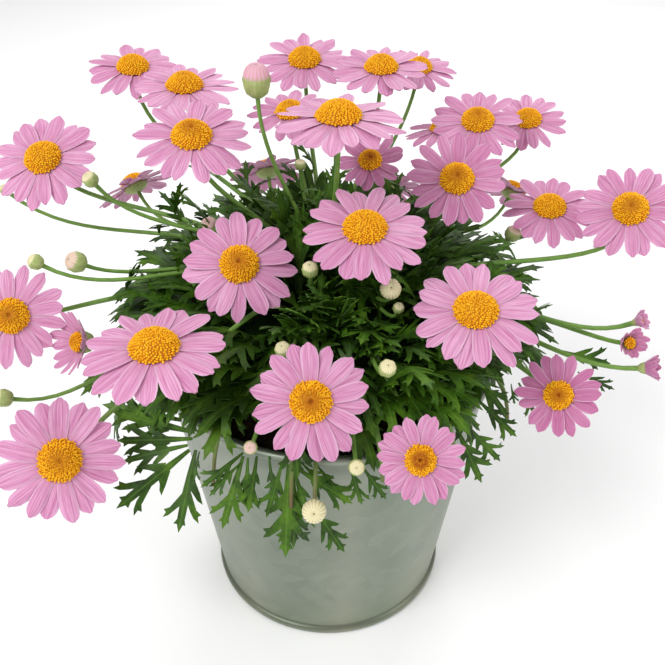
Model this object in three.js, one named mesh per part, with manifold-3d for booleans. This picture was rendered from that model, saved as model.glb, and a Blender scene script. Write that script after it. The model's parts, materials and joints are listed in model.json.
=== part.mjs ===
// A pink marguerite daisy in a tapered zinc pot, as a standalone three.js scene.
// Millimetres, +Z up, origin at the middle of the pot's underside, the front of the pot at -Y.
import * as THREE from 'three';
import { mergeVertices } from 'three/addons/utils/BufferGeometryUtils.js';
import Module from 'manifold-3d';

const wasm = await Module();
wasm.setup();

// Pot: sheet zinc, tapered, with a rolled rim and a foot bead.
const POT_HEIGHT = 152;
const RIM_RADIUS = 85;
const FOOT_RADIUS = 64.6;
const WALL = 1.4;
const FLOOR = 3;
const BEAD = 6;
const BEAD_PROUD = 1.8;
const ROLL = 4.6;
const ROLL_PROUD = 2.4;
const RIM_IN = 1;
const LIP_WIDE = 0.4;
const POT_SIDES = 32;

// Soil: filled to a little under the rim, with a plain hole for the plant's foot.
const SOIL_EDGE_HEIGHT = 132;
const SOIL_MIDDLE_HEIGHT = 136;
const SOIL_SHOULDER_RADIUS = 58;
const SOIL_SHOULDER_RISE = 2;
const SOIL_MIDDLE_RADIUS = 34;
const SOIL_SIDES = 18;
const CLOD = 1.3;
const CLODS_ABOVE = 133;
const FOOT_HOLE_RADIUS = 8.2;
const FOOT_HOLE_DEPTH = 20;
const GAP = 0.3;

// Woody foot, and the dense inner tangle of the bush that leaves and stems stand out of.
const TRUNK_RADIUS = 7.4;
const TRUNK_TOP_RADIUS = 6;
const TRUNK_INSIDE = 6;
const TRUNK_SIDES = 8;
const TANGLE_MIDDLE = [0, 2, 164];
const TANGLE_REACH = [71, 71, 33];
const TANGLE_BOTTOM = 141;
const TANGLE_LUMPS = 0.12;
const TANGLE_SIDES = 10;
const TANGLE_ROWS = 6;

// Sprigs that hang over the rim.
const SPRIG_RADIUS = 1.6;
const SPRIG_SIDES = 4;
const SPRIG_STEPS = 3;
const SPRIG_START = [60, 163];
const SPRIG_OVER = [92, 180];
const SPRIG_END = [97, 143];

// Leaves: a narrow blade that forks into pointed fingers near its end.
const LEAF_LENGTH = 43;
const SPRIG_LEAF_LENGTH = 37;
const LEAF_SPREAD = 9;
const LEAF_RIB = 0.45;
const LEAF_DISH = 0.9;
const LEAF_COUNT = 56;
const LEAF_ROOT = 0.9;
const LEAF_LOWEST = 92;
const LEAF_PITCH = { top: 84, fall: 46, spread: 16 };
const LEAF_BEND = { top: 34, rise: 70, spread: 20 };
const LEAF_TURN_SPREAD = 50;
const PLACE_SPREAD = 16;
const SPRIG_PITCH_SPREAD = 12;

// How a leaf is moved where something is in its way, and how near it may come.
const LEAF_TRIES = 5;
const TURN_ASIDE = 18;
const RAISE_AFTER = 2;
const RAISE_PITCH = 14;
const RAISE_BEND = 24;
const BLOOM_BELOW = 5;
const BLOOM_BELOW_SLOPE = 0.3;
const BLOOM_ABOVE = 7;
const BLOOM_ASIDE = 2;
const RIM_OUTSIDE = 3;
const RIM_INSIDE = 6;
const SOIL_ABOVE = 4;
const LEAF_FREE = 0.2;

// Flower stems, cups, rays and discs.
const STEM_RADIUS = 1.1;
const STEM_SIDES = 5;
const STEM_STEPS = 3;
const STEM_GATHER = 0.62;
const STEM_BACK = 9;
const STEM_LOWEST = 176;
const STEM_START = 0.78;
const STEM_RISE = 0.35;
const STEM_NECK = 0.4;
const STEM_SHARE = 0.97;
const BUD_STEM = 0.85;
const CUP_HEIGHT = 4;
const CUP_SHARE = 0.62;
const CUP_BASE = [0.4, 1.3];
const DISC_SHARE = 0.345;
const DISC_RISE = 0.34;
const DISC_SIDES = 7;
const DISC_RINGS = [[1, 0], [0.98, 0.5], [0.6, 0.95]];
const DIMPLE = 0.84;
const GRAIN = 0.35;
const PLATE = 0.4;
const RAY_ROOT = 1.6;
const RAY_RIB = 0.8;
const RAY_WIDTH = 6.4;
const RAY_TOUCH = 1.9;
const RAY_LAYER = 5;
const RAY_REACH = 0.95;
const RAY_REACH_SPREAD = 0.08;
const RAY_SHOULDER = 0.68;
const RAY_TIP = 0.26;
const RAY_CURL = 0.03;
const RAY_CURL_LEAST = 4;

// Buds: [height, width] of a shut one as shares of its radius, and the crown of a half-open one.
const BUD_SHAPE = [[0.25, 0.72], [0.95, 1], [1.6, 0.7], [1.9, 0]];
const TALL_BUD = 1.25;
const CROWN_SIDES = 12;
const CROWN_HEIGHT = 0.8;
const CROWN_FOOT = 0.22;
const CROWN_IN = 0.8;
const CROWN_DOWN = 0.3;

// Seeds of the draws.
const SOIL_SEED = 5;
const TANGLE_SEED = 9;
const LEAF_SEED = 32;
const SPRIG_SEED = 57;
const SPRIG_SEED_STEP = 13;
const RAY_SEED = 100;
const RAY_SEED_STEP = 7;

const WELD = 1e-4;
const SHORTEST_EDGE = 0.05;
const DEGREE = Math.PI / 180;
const GOLDEN_ANGLE = 137.5;
const UP = new THREE.Vector3(0, 0, 1);
const LOFT_ACROSS = new THREE.Vector3(1, 0.2, 0.1);

// Flower heads: middle of the rays, width across, how far the face leans from upright and the way
// it leans (0 to the front, 90 to the right), number of rays, how far they hang (less than 0 is a
// cup), how much further the low side hangs, and the turn of the first ray, with the way the stem
// is pulled aside where it has to pass something. All mm and degrees.
const BLOOMS = [
  { id: '01', at: [-98, 74, 270], across: 46, lean: 16, turn: 14, rays: 15, hang: 4, sag: 8, spin: 4 },
  { id: '02', at: [-67, 42, 271], across: 50, lean: 9, turn: 12, rays: 17, hang: 1, sag: 4, spin: 9 },
  { id: '03', at: [-57, -8, 266], across: 50, lean: 22, turn: 8, rays: 17, hang: 3, sag: 8, spin: 2 },
  { id: '04', at: [-131, 16, 246], across: 50, lean: 33, turn: -6, rays: 18, hang: 3, sag: 8, spin: 6 },
  { id: '05', at: [-12, 90, 269], across: 49, lean: 18, turn: 0, rays: 17, hang: 1, sag: 5, spin: 11 },
  { id: '06', at: [26, 57, 275], across: 47, lean: 11, turn: -4, rays: 17, hang: 0, sag: 5, spin: 0 },
  { id: '06b', at: [49, 100, 262], across: 40, lean: 16, turn: 20, rays: 15, hang: 2, sag: 6, spin: 7 },
  { id: '07', at: [5, -18, 278], across: 55, lean: 3, turn: -2, rays: 18, hang: 3, sag: 5, spin: 5,
    bow: [0, 6, 0] },
  { id: '07b', at: [-18, 46, 257], across: 42, lean: 14, turn: -14, rays: 15, hang: 2, sag: 8, spin: 0 },
  { id: '08', at: [20, 18, 244], across: 32, lean: 34, turn: -3, rays: 15, hang: -14, sag: 4, spin: 3 },
  { id: '09', at: [58.7, 56.8, 244.5], across: 40, lean: 8, turn: -100, rays: 15, hang: 4, sag: 8, spin: 0 },
  { id: '10', at: [74, 50, 251], across: 46, lean: 25, turn: -12, rays: 17, hang: 2, sag: 10, spin: 8 },
  { id: '11', at: [108, 87, 238], across: 42, lean: 24, turn: -15, rays: 15, hang: 2, sag: 8, spin: 2 },
  { id: '12', at: [60, 11, 238], across: 46, lean: 42, turn: -8, rays: 17, hang: -6, sag: 4, spin: 10 },
  { id: '13', at: [109, 24, 217], across: 46, lean: 20, turn: -14, rays: 17, hang: 3, sag: 8, spin: 6 },
  { id: '14', at: [139, 0, 228], across: 47, lean: 41, turn: -20, rays: 18, hang: 4, sag: 8, spin: 0,
    bow: [4, -16, -8] },
  { id: '15', at: [16, -36, 237], across: 54, lean: 19, turn: -3, rays: 19, hang: 4, sag: 10, spin: 4 },
  { id: '16', at: [-38, -31, 217], across: 50, lean: 42, turn: 6, rays: 18, hang: 4, sag: 10, spin: 9 },
  { id: '17', at: [61, -60, 212], across: 54, lean: 22, turn: -10, rays: 18, hang: 4, sag: 8, spin: 3 },
  { id: '18', at: [-65, -88, 214], across: 56, lean: 6, turn: 10, rays: 18, hang: 4, sag: 12, spin: 0 },
  { id: '19', at: [-142, -34, 192], across: 47, lean: 50, turn: 10, rays: 17, hang: 4, sag: 6, spin: 5 },
  { id: '20', at: [-6, -91, 190], across: 49, lean: 50, turn: 2, rays: 18, hang: 3, sag: 6, spin: 10 },
  { id: '21', at: [-110, -93, 160], across: 52, lean: 48, turn: 22, rays: 19, hang: 3, sag: 6, spin: 2 },
  { id: '22', at: [101, -63, 170], across: 37, lean: 52, turn: -16, rays: 16, hang: -12, sag: 4, spin: 7 },
  { id: '23', at: [37, -105, 172], across: 36, lean: 48, turn: -9, rays: 16, hang: -2, sag: 6, spin: 4 },
  { id: '24', at: [-112, 96, 196], across: 48, lean: 42, turn: -138, rays: 16, hang: 4, sag: 10, spin: 3 },
  { id: '25', at: [-38, 134, 188], across: 50, lean: 46, turn: -168, rays: 17, hang: 4, sag: 10, spin: 8 },
  { id: '26', at: [38, 136, 176], across: 48, lean: 52, turn: 166, rays: 17, hang: 2, sag: 8, spin: 1 },
  { id: '27', at: [110, 108, 186], across: 46, lean: 44, turn: 138, rays: 16, hang: 4, sag: 10, spin: 5 },
];
const JOINED_RAYS = [['09', '10']];

// Buds: middle, width, how far the tip leans and the way it leans, and the kind, with the share of
// the stem that follows the bud's own way where that is not the usual one.
const BUDS = [
  { id: 'a', at: [-30, 10, 283], across: 12, lean: 4, turn: 0, kind: 'tall' },
  { id: 'b', at: [-106, 0, 243], across: 7, lean: 30, turn: -60, kind: 'round' },
  { id: 'c', at: [-113, -20, 212], across: 9.5, lean: 50, turn: -50, kind: 'round' },
  { id: 'd', at: [-129, -25, 215], across: 7, lean: 50, turn: -80, kind: 'round' },
  { id: 'e', at: [-143, -60, 166], across: 8, lean: 64, turn: -70, kind: 'round' },
  { id: 'f', at: [-58, 20, 209], across: 9, lean: 30, turn: -30, kind: 'round' },
  { id: 'g', at: [-7, -40, 220], across: 7, lean: 16, turn: 0, kind: 'round' },
  { id: 'h', at: [27, -46, 214], across: 9, lean: 24, turn: 0, kind: 'round' },
  { id: 'i', at: [-18, -66, 197], across: 7, lean: 24, turn: -20, kind: 'round' },
  { id: 'j', at: [24, -85, 202], across: 7, lean: 30, turn: 10, kind: 'round' },
  { id: 'k', at: [-30, -100, 174], across: 5.5, lean: 50, turn: 0, kind: 'round', neck: 0.2 },
  { id: 'l', at: [12, -106, 169], across: 6.5, lean: 50, turn: 0, kind: 'round', neck: 0.2 },
  { id: 'm', at: [-5, -108, 146], across: 10, lean: 56, turn: 0, kind: 'round', neck: 0.1 },
  { id: 'n', at: [92, 20, 205], across: 8, lean: 20, turn: 60, kind: 'round' },
  { id: 'o', at: [4, 42, 242], across: 6, lean: 6, turn: 0, kind: 'round' },
  { id: 'p', at: [-13, 30, 237], across: 5.5, lean: 6, turn: 0, kind: 'round' },
  { id: 'q', at: [31, -44, 203], across: 5, lean: 20, turn: 20, kind: 'round' },
  { id: 'r', at: [134, -45, 185], across: 12, lean: 56, turn: 10, kind: 'open' },
  { id: 's', at: [143, -50, 175], across: 11, lean: 72, turn: 70, kind: 'open' },
  { id: 't', at: [139, -38, 192], across: 8, lean: 50, turn: 60, kind: 'open' },
  { id: 'u', at: [-112, -40, 182], across: 21, lean: 62, turn: -50, kind: 'open' },
  { id: 'v', at: [-159, 30, 224], across: 5, lean: 40, turn: -80, kind: 'round' },
];

// Hanging sprigs: the way each one grows, and how much further down than the first its tip is.
const SPRIGS = [
  { turn: -78, drop: 0 },
  { turn: -54, drop: 6 },
  { turn: -31, drop: 8 },
  { turn: -9, drop: 8 },
  { turn: 14, drop: -6 },
  { turn: 36, drop: 4 },
  { turn: 62, drop: 2 },
  { turn: 92, drop: 0 },
  { turn: 128, drop: 4 },
  { turn: 170, drop: 6 },
  { turn: -146, drop: 4 },
  { turn: -110, drop: 2 },
];
const SPRIG_LEAVES = [
  { share: 0.6, away: 34, pitch: 10, bend: 70 },
  { share: 0.8, away: -32, pitch: -4, bend: 60 },
  { share: 0.98, away: 4, pitch: -44, bend: 34 },
];

// Leaf edge on one side, as shares of the length: along the rib, then out from it.
const LEAF_EDGE = [
  [0, 0.022],
  [0.3, 0.045],
  [0.6, 0.3],
  [0.47, 0.065],
  [0.88, 0.27],
  [0.72, 0.075],
];
const LEAF_RIBS = [0.39, 0.64];

// Seeded draws, the same on every run.
function drawsFrom(seed) {
  let state = seed;
  return () => {
    state = (state * 1664525 + 1013904223) % 4294967296;
    return state / 4294967296;
  };
}

// The way something that leans faces, and two directions square to it.
function facing(lean, turn) {
  const tilt = lean * DEGREE;
  const way = turn * DEGREE;
  const normal = new THREE.Vector3(
    Math.sin(tilt) * Math.sin(way), -Math.sin(tilt) * Math.cos(way), Math.cos(tilt));
  const across = new THREE.Vector3(Math.cos(way), Math.sin(way), 0);
  return { normal, across, along: new THREE.Vector3().crossVectors(normal, across) };
}

function outward(turn, distance, height) {
  return new THREE.Vector3(
    distance * Math.sin(turn * DEGREE), -distance * Math.cos(turn * DEGREE), height);
}

// Places of the edge of a leaf's drawing that are also tried for what is in its way.
const LEAF_PROBES = [...LEAF_EDGE, [1, 0], [0.55, 0], [0.86, 0.1], [0.55, 0.15], [0.75, 0.15]];

function meshOf(points, faces) {
  const geometry = new THREE.BufferGeometry();
  const numbers = points.flatMap((point) => point.toArray());
  geometry.setAttribute('position', new THREE.Float32BufferAttribute(numbers, 3));
  geometry.setIndex(faces.flat());
  return geometry;
}

// One point where several faces meet.
function welded(geometry) {
  const bare = geometry.clone();
  bare.deleteAttribute('normal');
  bare.deleteAttribute('uv');
  return mergeVertices(bare, WELD);
}

function solidOf(geometry) {
  const merged = welded(geometry);
  return new wasm.Manifold(new wasm.Mesh({
    numProp: 3,
    vertProperties: new Float32Array(merged.attributes.position.array),
    triVerts: new Uint32Array(merged.index.array),
  }));
}

function geometryOf(solid) {
  const { vertProperties, triVerts } = solid.getMesh();
  const geometry = new THREE.BufferGeometry();
  geometry.setAttribute('position', new THREE.BufferAttribute(vertProperties, 3));
  geometry.setIndex(new THREE.BufferAttribute(triVerts, 1));
  return geometry;
}

// Joins what touches, without edges too short to matter, and keeps the one body that hangs together.
function joined(geometries) {
  const all = wasm.Manifold.union(geometries.map(solidOf)).simplify(SHORTEST_EDGE);
  return all.decompose().reduce((a, b) => (a.volume() > b.volume() ? a : b));
}

function lathed(profile, sides) {
  const turned = new THREE.LatheGeometry(profile.map(([r, z]) => new THREE.Vector2(r, z)), sides);
  return turned.rotateX(Math.PI / 2);
}

// Pot
const wallRun = POT_HEIGHT - ROLL - BEAD;
const wallTop = RIM_RADIUS - ROLL_PROUD;

function potRadius(z) {
  return FOOT_RADIUS + ((wallTop - FOOT_RADIUS) * (z - BEAD)) / wallRun;
}

function potGeometry() {
  return lathed([
    [0, 0],
    [FOOT_RADIUS, 0],
    [FOOT_RADIUS + BEAD_PROUD, BEAD / 2],
    [FOOT_RADIUS, BEAD],
    [wallTop, POT_HEIGHT - ROLL],
    [RIM_RADIUS, POT_HEIGHT - ROLL / 2],
    [RIM_RADIUS - RIM_IN, POT_HEIGHT],
    [wallTop - WALL + LIP_WIDE, POT_HEIGHT - LIP_WIDE],
    [wallTop - WALL, POT_HEIGHT - ROLL],
    [FOOT_RADIUS - WALL, BEAD],
    [FOOT_RADIUS - WALL, FLOOR],
    [0, FLOOR],
  ], POT_SIDES);
}

// Soil, with clods on top
function soilGeometry() {
  const inside = (z) => (potRadius(z) - WALL) * Math.cos(Math.PI / POT_SIDES) - GAP;
  const bottom = FLOOR + GAP;
  const holeFloor = SOIL_MIDDLE_HEIGHT - FOOT_HOLE_DEPTH;
  const soil = lathed([
    [0, bottom],
    [inside(bottom), bottom],
    [inside(SOIL_EDGE_HEIGHT), SOIL_EDGE_HEIGHT],
    [SOIL_SHOULDER_RADIUS, SOIL_EDGE_HEIGHT + SOIL_SHOULDER_RISE],
    [SOIL_MIDDLE_RADIUS, SOIL_MIDDLE_HEIGHT],
    [FOOT_HOLE_RADIUS, SOIL_MIDDLE_HEIGHT],
    [FOOT_HOLE_RADIUS, holeFloor],
    [0, holeFloor],
  ], SOIL_SIDES);
  const closed = welded(soil);
  const draw = drawsFrom(SOIL_SEED);
  const place = closed.attributes.position;
  for (let i = 0; i < place.count; i += 1) {
    const lift = CLOD * (2 * draw() - 1);
    if (place.getZ(i) > CLODS_ABOVE) place.setZ(i, place.getZ(i) + lift);
  }
  return closed;
}

// Rays: one thin star of rays round a plate, each with a raised rib, every other one lower.
function raysGeometry(bloom) {
  const { normal, across, along } = facing(bloom.lean, bloom.turn);
  const middle = new THREE.Vector3(...bloom.at);
  const radius = bloom.across / 2;
  const root = radius * DISC_SHARE + RAY_ROOT;
  const step = (360 / bloom.rays) * DEGREE;
  const width = Math.min(RAY_WIDTH * (bloom.across / 50), RAY_TOUCH * radius * Math.sin(step / 2));
  const draw = drawsFrom(RAY_SEED + bloom.rays + Number.parseInt(bloom.id, 10) * RAY_SEED_STEP);
  const outAt = (angle) => across.clone().multiplyScalar(Math.cos(angle))
    .addScaledVector(along, Math.sin(angle));
  const at = (angle, r, side, height) => {
    const out = outAt(angle);
    const wide = new THREE.Vector3().crossVectors(normal, out);
    return middle.clone().addScaledVector(out, r).addScaledVector(wide, side)
      .addScaledVector(normal, height);
  };
  const points = [at(0, 0, 0, PLATE), at(0, 0, 0, -PLATE)];
  const faces = [];
  const rootAt = (i) => 2 + (i % bloom.rays) * 7;
  for (let i = 0; i < bloom.rays; i += 1) {
    const angle = bloom.spin * DEGREE + i * step;
    const low = (1 - outAt(angle).z) / 2;
    const sag = bloom.sag * low * low;
    const tip = radius * (RAY_REACH + RAY_REACH_SPREAD * draw());
    const hang = (bloom.hang + sag + (i % 2) * RAY_LAYER) * DEGREE;
    const fall = (r) => -Math.tan(hang) * (r - root);
    const shoulder = root + (tip - root) * RAY_SHOULDER;
    const drop = fall(tip) - RAY_CURL * (sag + RAY_CURL_LEAST);
    const gap = angle - step / 2;
    points.push(
      at(gap, root, 0, PLATE), at(gap, root, 0, -PLATE),
      at(angle, shoulder, -width / 2, fall(shoulder)), at(angle, tip, -width * RAY_TIP, drop),
      at(angle, tip, width * RAY_TIP, drop), at(angle, shoulder, width / 2, fall(shoulder)),
      at(angle, shoulder, 0, fall(shoulder) + RAY_RIB));
  }
  for (let i = 0; i < bloom.rays; i += 1) {
    const a = rootAt(i);
    const b = rootAt(i + 1);
    const [aTop, aLow, sideA, tipA, tipB, sideB, rib] = [a, a + 1, a + 2, a + 3, a + 4, a + 5, a + 6];
    const [bTop, bLow] = [b, b + 1];
    faces.push(
      [0, aTop, bTop], [1, bLow, aLow],
      [aTop, sideA, rib], [aTop, rib, bTop], [bTop, rib, sideB],
      [sideA, tipA, rib], [tipA, tipB, rib], [tipB, sideB, rib],
      [aLow, bLow, sideA], [bLow, sideB, sideA], [sideA, sideB, tipA], [sideB, tipB, tipA],
      [aTop, aLow, sideA], [bTop, sideB, bLow]);
  }
  return meshOf(points, faces);
}

// Disc: a low dome of staggered grains, with a dimple where the inner florets are still shut.
function discGeometry(bloom) {
  const { normal, across, along } = facing(bloom.lean, bloom.turn);
  const radius = (bloom.across / 2) * DISC_SHARE;
  const rise = radius * 2 * DISC_RISE;
  const base = new THREE.Vector3(...bloom.at).addScaledVector(normal, PLATE + GAP);
  const points = [base.clone(), base.clone().addScaledVector(normal, rise * DIMPLE)];
  DISC_RINGS.forEach(([share, height], ring) => {
    for (let i = 0; i < DISC_SIDES; i += 1) {
      const angle = ((i + (ring % 2) / 2) * 360 * DEGREE) / DISC_SIDES;
      const grain = ring === 0 ? 0 : GRAIN * (i % 2 ? 1 : -1);
      points.push(base.clone()
        .addScaledVector(across, Math.cos(angle) * radius * share)
        .addScaledVector(along, Math.sin(angle) * radius * share)
        .addScaledVector(normal, rise * height + grain));
    }
  });
  const faces = [];
  const at = (ring, i) => 2 + ring * DISC_SIDES + (i % DISC_SIDES);
  for (let i = 0; i < DISC_SIDES; i += 1) {
    faces.push([0, at(0, i + 1), at(0, i)]);
    for (let ring = 0; ring < DISC_RINGS.length - 1; ring += 1) {
      const shift = ring % 2;
      faces.push([at(ring, i), at(ring, i + 1), at(ring + 1, i + shift)]);
      faces.push([at(ring + 1, i + shift), at(ring, i + 1), at(ring + 1, i + shift + 1)]);
    }
    faces.push([1, at(DISC_RINGS.length - 1, i), at(DISC_RINGS.length - 1, i + 1)]);
  }
  return meshOf(points, faces);
}

// The inner tangle: a flattened, lumpy ball that is level underneath.
const tangleMiddle = new THREE.Vector3(...TANGLE_MIDDLE);
const tangleReach = new THREE.Vector3(...TANGLE_REACH);

function tangleGeometry() {
  const ball = new THREE.SphereGeometry(1, TANGLE_SIDES, TANGLE_ROWS).rotateX(Math.PI / 2);
  const closed = welded(ball);
  const draw = drawsFrom(TANGLE_SEED);
  const place = closed.attributes.position;
  for (let i = 0; i < place.count; i += 1) {
    const swell = 1 + TANGLE_LUMPS * (2 * draw() - 1);
    const point = new THREE.Vector3().fromBufferAttribute(place, i).multiplyScalar(swell)
      .multiply(tangleReach).add(tangleMiddle);
    place.setXYZ(i, point.x, point.y, Math.max(point.z, TANGLE_BOTTOM));
  }
  return closed;
}

// Where a line from the middle of the tangle towards a point leaves it, or a share of the way.
function onTangle(towards, share) {
  const way = towards.clone().sub(tangleMiddle).divide(tangleReach).normalize().multiplyScalar(share);
  return way.multiply(tangleReach).add(tangleMiddle);
}

function tube(curve, radius, sides, steps) {
  const ring = [];
  for (let i = 0; i < sides; i += 1) {
    const angle = ((i + 0.5) * 2 * Math.PI) / sides;
    ring.push(new THREE.Vector2(radius * Math.cos(angle), radius * Math.sin(angle)));
  }
  const run = { steps, extrudePath: curve, bevelEnabled: false };
  return new THREE.ExtrudeGeometry(new THREE.Shape(ring), run);
}

// The stem of a flower or bud, from inside the tangle up to its back.
function stemCurve(top, normal, { neck = STEM_NECK, bow = [0, 0, 0] }) {
  const foot = new THREE.Vector3(
    top.x * STEM_GATHER, top.y * STEM_GATHER + STEM_BACK, Math.max(top.z, STEM_LOWEST));
  const start = onTangle(foot, STEM_START);
  const span = start.distanceTo(top);
  const rising = start.clone().sub(tangleMiddle).normalize().add(UP).normalize();
  const aside = new THREE.Vector3(...bow);
  return new THREE.CubicBezierCurve3(
    start,
    start.clone().addScaledVector(rising, span * STEM_RISE).add(aside),
    top.clone().addScaledVector(normal, -span * neck).add(aside),
    top);
}

// A closed skin over rings of changing width along a line, pointed where a width is 0.
function loft(stations, sides) {
  const points = [];
  const rings = [];
  let across = LOFT_ACROSS.clone();
  stations.forEach(({ place, radius }, i) => {
    const before = stations[Math.max(i - 1, 0)].place;
    const after = stations[Math.min(i + 1, stations.length - 1)].place;
    const ahead = after.clone().sub(before).normalize();
    across = across.clone().addScaledVector(ahead, -across.dot(ahead)).normalize();
    const along = new THREE.Vector3().crossVectors(ahead, across);
    const ring = [];
    for (let k = 0; k < (radius ? sides : 1); k += 1) {
      const angle = (k * 2 * Math.PI) / sides;
      ring.push(points.length);
      points.push(place.clone().addScaledVector(across, radius * Math.cos(angle))
        .addScaledVector(along, radius * Math.sin(angle)));
    }
    rings.push(ring);
  });
  const faces = [];
  const first = rings[0];
  const last = rings[rings.length - 1];
  for (let k = 1; k < first.length - 1; k += 1) faces.push([first[0], first[k + 1], first[k]]);
  for (let k = 1; k < last.length - 1; k += 1) faces.push([last[0], last[k], last[k + 1]]);
  for (let i = 0; i < rings.length - 1; i += 1) {
    const [low, high] = [rings[i], rings[i + 1]];
    for (let k = 0; k < sides; k += 1) {
      const next = (k + 1) % sides;
      if (high.length === 1) faces.push([low[k], low[next], high[0]]);
      else faces.push([low[k], low[next], high[k]], [high[k], low[next], high[next]]);
    }
  }
  return meshOf(points, faces);
}

// Stations up a stem, then those of what it carries, which is [height, radius] along its own way.
function stemLoft(end, normal, radius, carried, head) {
  const curve = stemCurve(end, normal, head);
  const stations = [];
  for (let i = 0; i <= STEM_STEPS; i += 1) {
    stations.push({ place: curve.getPoint((STEM_SHARE * i) / STEM_STEPS), radius });
  }
  for (const [height, width] of carried) {
    stations.push({ place: end.clone().addScaledVector(normal, height), radius: width });
  }
  return loft(stations, STEM_SIDES);
}

function bloomStem(bloom) {
  const { normal } = facing(bloom.lean, bloom.turn);
  const cupFoot = new THREE.Vector3(...bloom.at).addScaledVector(normal, -PLATE - GAP - CUP_HEIGHT);
  const wide = (bloom.across / 2) * DISC_SHARE * CUP_SHARE;
  const [low, flare] = CUP_BASE;
  return stemLoft(cupFoot, normal, STEM_RADIUS, [[low, STEM_RADIUS * flare], [CUP_HEIGHT, wide]], bloom);
}

// A half-open flower: a cup whose rim is a crown of ray tips.
function openBud(across) {
  const height = across * CROWN_HEIGHT;
  const cup = new THREE.CylinderGeometry(across / 2, across * CROWN_FOOT, height, CROWN_SIDES, 1)
    .rotateX(Math.PI / 2);
  const place = cup.attributes.position;
  for (let i = 0; i < place.count; i += 1) {
    const [x, y, z] = [place.getX(i), place.getY(i), place.getZ(i)];
    const side = Math.round((Math.atan2(y, x) * CROWN_SIDES) / (2 * Math.PI));
    const onEdge = Math.hypot(x, y) > across * CROWN_FOOT;
    if (z > 0 && onEdge && side % 2) {
      place.setXYZ(i, x * CROWN_IN, y * CROWN_IN, z - height * CROWN_DOWN);
    }
  }
  return cup;
}

function budStem(bud) {
  const { normal } = facing(bud.lean, bud.turn);
  const middle = new THREE.Vector3(...bud.at);
  const radius = bud.across / 2;
  const foot = middle.clone().addScaledVector(normal, -radius);
  if (bud.kind === 'open') {
    const turn = new THREE.Quaternion().setFromUnitVectors(UP, normal);
    const head = openBud(bud.across).applyQuaternion(turn).translate(...bud.at);
    return [stemLoft(middle, normal, STEM_RADIUS, [], bud), head];
  }
  const tall = bud.kind === 'tall' ? TALL_BUD : 1;
  const shape = BUD_SHAPE.map(([height, width], i) => [height * radius * (i ? tall : 1), width * radius]);
  return [stemLoft(foot, normal, STEM_RADIUS * BUD_STEM, shape, bud)];
}

// A leaf: a blade that arches over from its root, with its fingers a little dished.
function leafPlacer(leaf) {
  const pitch = leaf.pitch * DEGREE;
  const bend = leaf.bend * DEGREE;
  const out = outward(leaf.turn, 1, 0);
  const side = new THREE.Vector3(Math.cos(leaf.turn * DEGREE), Math.sin(leaf.turn * DEGREE), 0);
  return (along, wide, lift) => {
    const angle = pitch - bend * along;
    const run = (leaf.length * (Math.sin(pitch) - Math.sin(angle))) / bend;
    const climb = (leaf.length * (Math.cos(angle) - Math.cos(pitch))) / bend;
    const dish = leaf.length * wide * wide * LEAF_DISH;
    return leaf.root.clone()
      .addScaledVector(out, run - Math.sin(angle) * (lift - dish))
      .addScaledVector(UP, climb + Math.cos(angle) * (lift - dish))
      .addScaledVector(side, wide * leaf.length);
  };
}

function leafGeometry(leaf) {
  const at = leafPlacer(leaf);
  const points = [];
  for (const hand of [1, -1]) {
    points.push(...LEAF_EDGE.map(([along, wide]) => at(along, wide * hand, along ? 0 : LEAF_RIB)));
  }
  points.push(at(1, 0, 0));
  for (const lift of [LEAF_RIB, -LEAF_RIB]) points.push(...LEAF_RIBS.map((along) => at(along, 0, lift)));
  for (const hand of [1, -1]) points.push(at(0, LEAF_EDGE[0][1] * hand, -LEAF_RIB));
  const [end, ribs, lowRoot] = [12, [[13, 14], [15, 16]], [17, 18]];
  const faces = [];
  for (const level of [0, 1]) {
    const [first, second] = ribs[level];
    for (const hand of [0, 1]) {
      const edge = [0, 1, 2, 3, 4, 5].map((i) => i + 6 * hand);
      if (level) edge[0] = lowRoot[hand];
      const [root, inA, tipA, outA, tipB, outB] = edge;
      const fan = [
        [root, first, inA], [inA, first, tipA], [tipA, first, outA], [outA, first, second],
        [outA, second, tipB], [tipB, second, outB], [outB, second, end]];
      for (const [a, b, c] of fan) faces.push(hand === level ? [a, b, c] : [a, c, b]);
    }
    faces.push(level ? [lowRoot[0], first, lowRoot[1]] : [0, 6, first]);
  }
  faces.push([0, 1, lowRoot[0]], [7, 6, lowRoot[1]], [6, 0, lowRoot[0]], [6, lowRoot[0], lowRoot[1]]);
  return meshOf(points, faces);
}

// True where a leaf would come too near a flower head, the pot's wall or rim, or the soil.
const heads = BLOOMS.map((bloom) => ({
  middle: new THREE.Vector3(...bloom.at),
  radius: bloom.across / 2 + BLOOM_ASIDE,
  normal: facing(bloom.lean, bloom.turn).normal,
}));

function nearHead(point, head) {
  const offset = point.clone().sub(head.middle);
  const height = offset.dot(head.normal);
  const apart = offset.addScaledVector(head.normal, -height).length();
  return apart < head.radius && height < BLOOM_ABOVE
    && height > -BLOOM_BELOW - apart * BLOOM_BELOW_SLOPE;
}

function nearPot(point) {
  const reach = Math.hypot(point.x, point.y);
  return point.z < POT_HEIGHT + RIM_OUTSIDE && reach < RIM_RADIUS + RIM_OUTSIDE
    && reach > potRadius(point.z) - RIM_INSIDE;
}

function nearSoil(point) {
  return point.z < SOIL_MIDDLE_HEIGHT + SOIL_ABOVE && Math.hypot(point.x, point.y) < RIM_RADIUS;
}

function blocked(leaf) {
  const at = leafPlacer(leaf);
  return [1, -1].some((hand) => LEAF_PROBES.some(([along, wide]) => {
    const point = at(along, wide * hand, 0);
    return (along > LEAF_FREE && nearPot(point)) || nearSoil(point)
      || heads.some((head) => nearHead(point, head));
  }));
}

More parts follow.
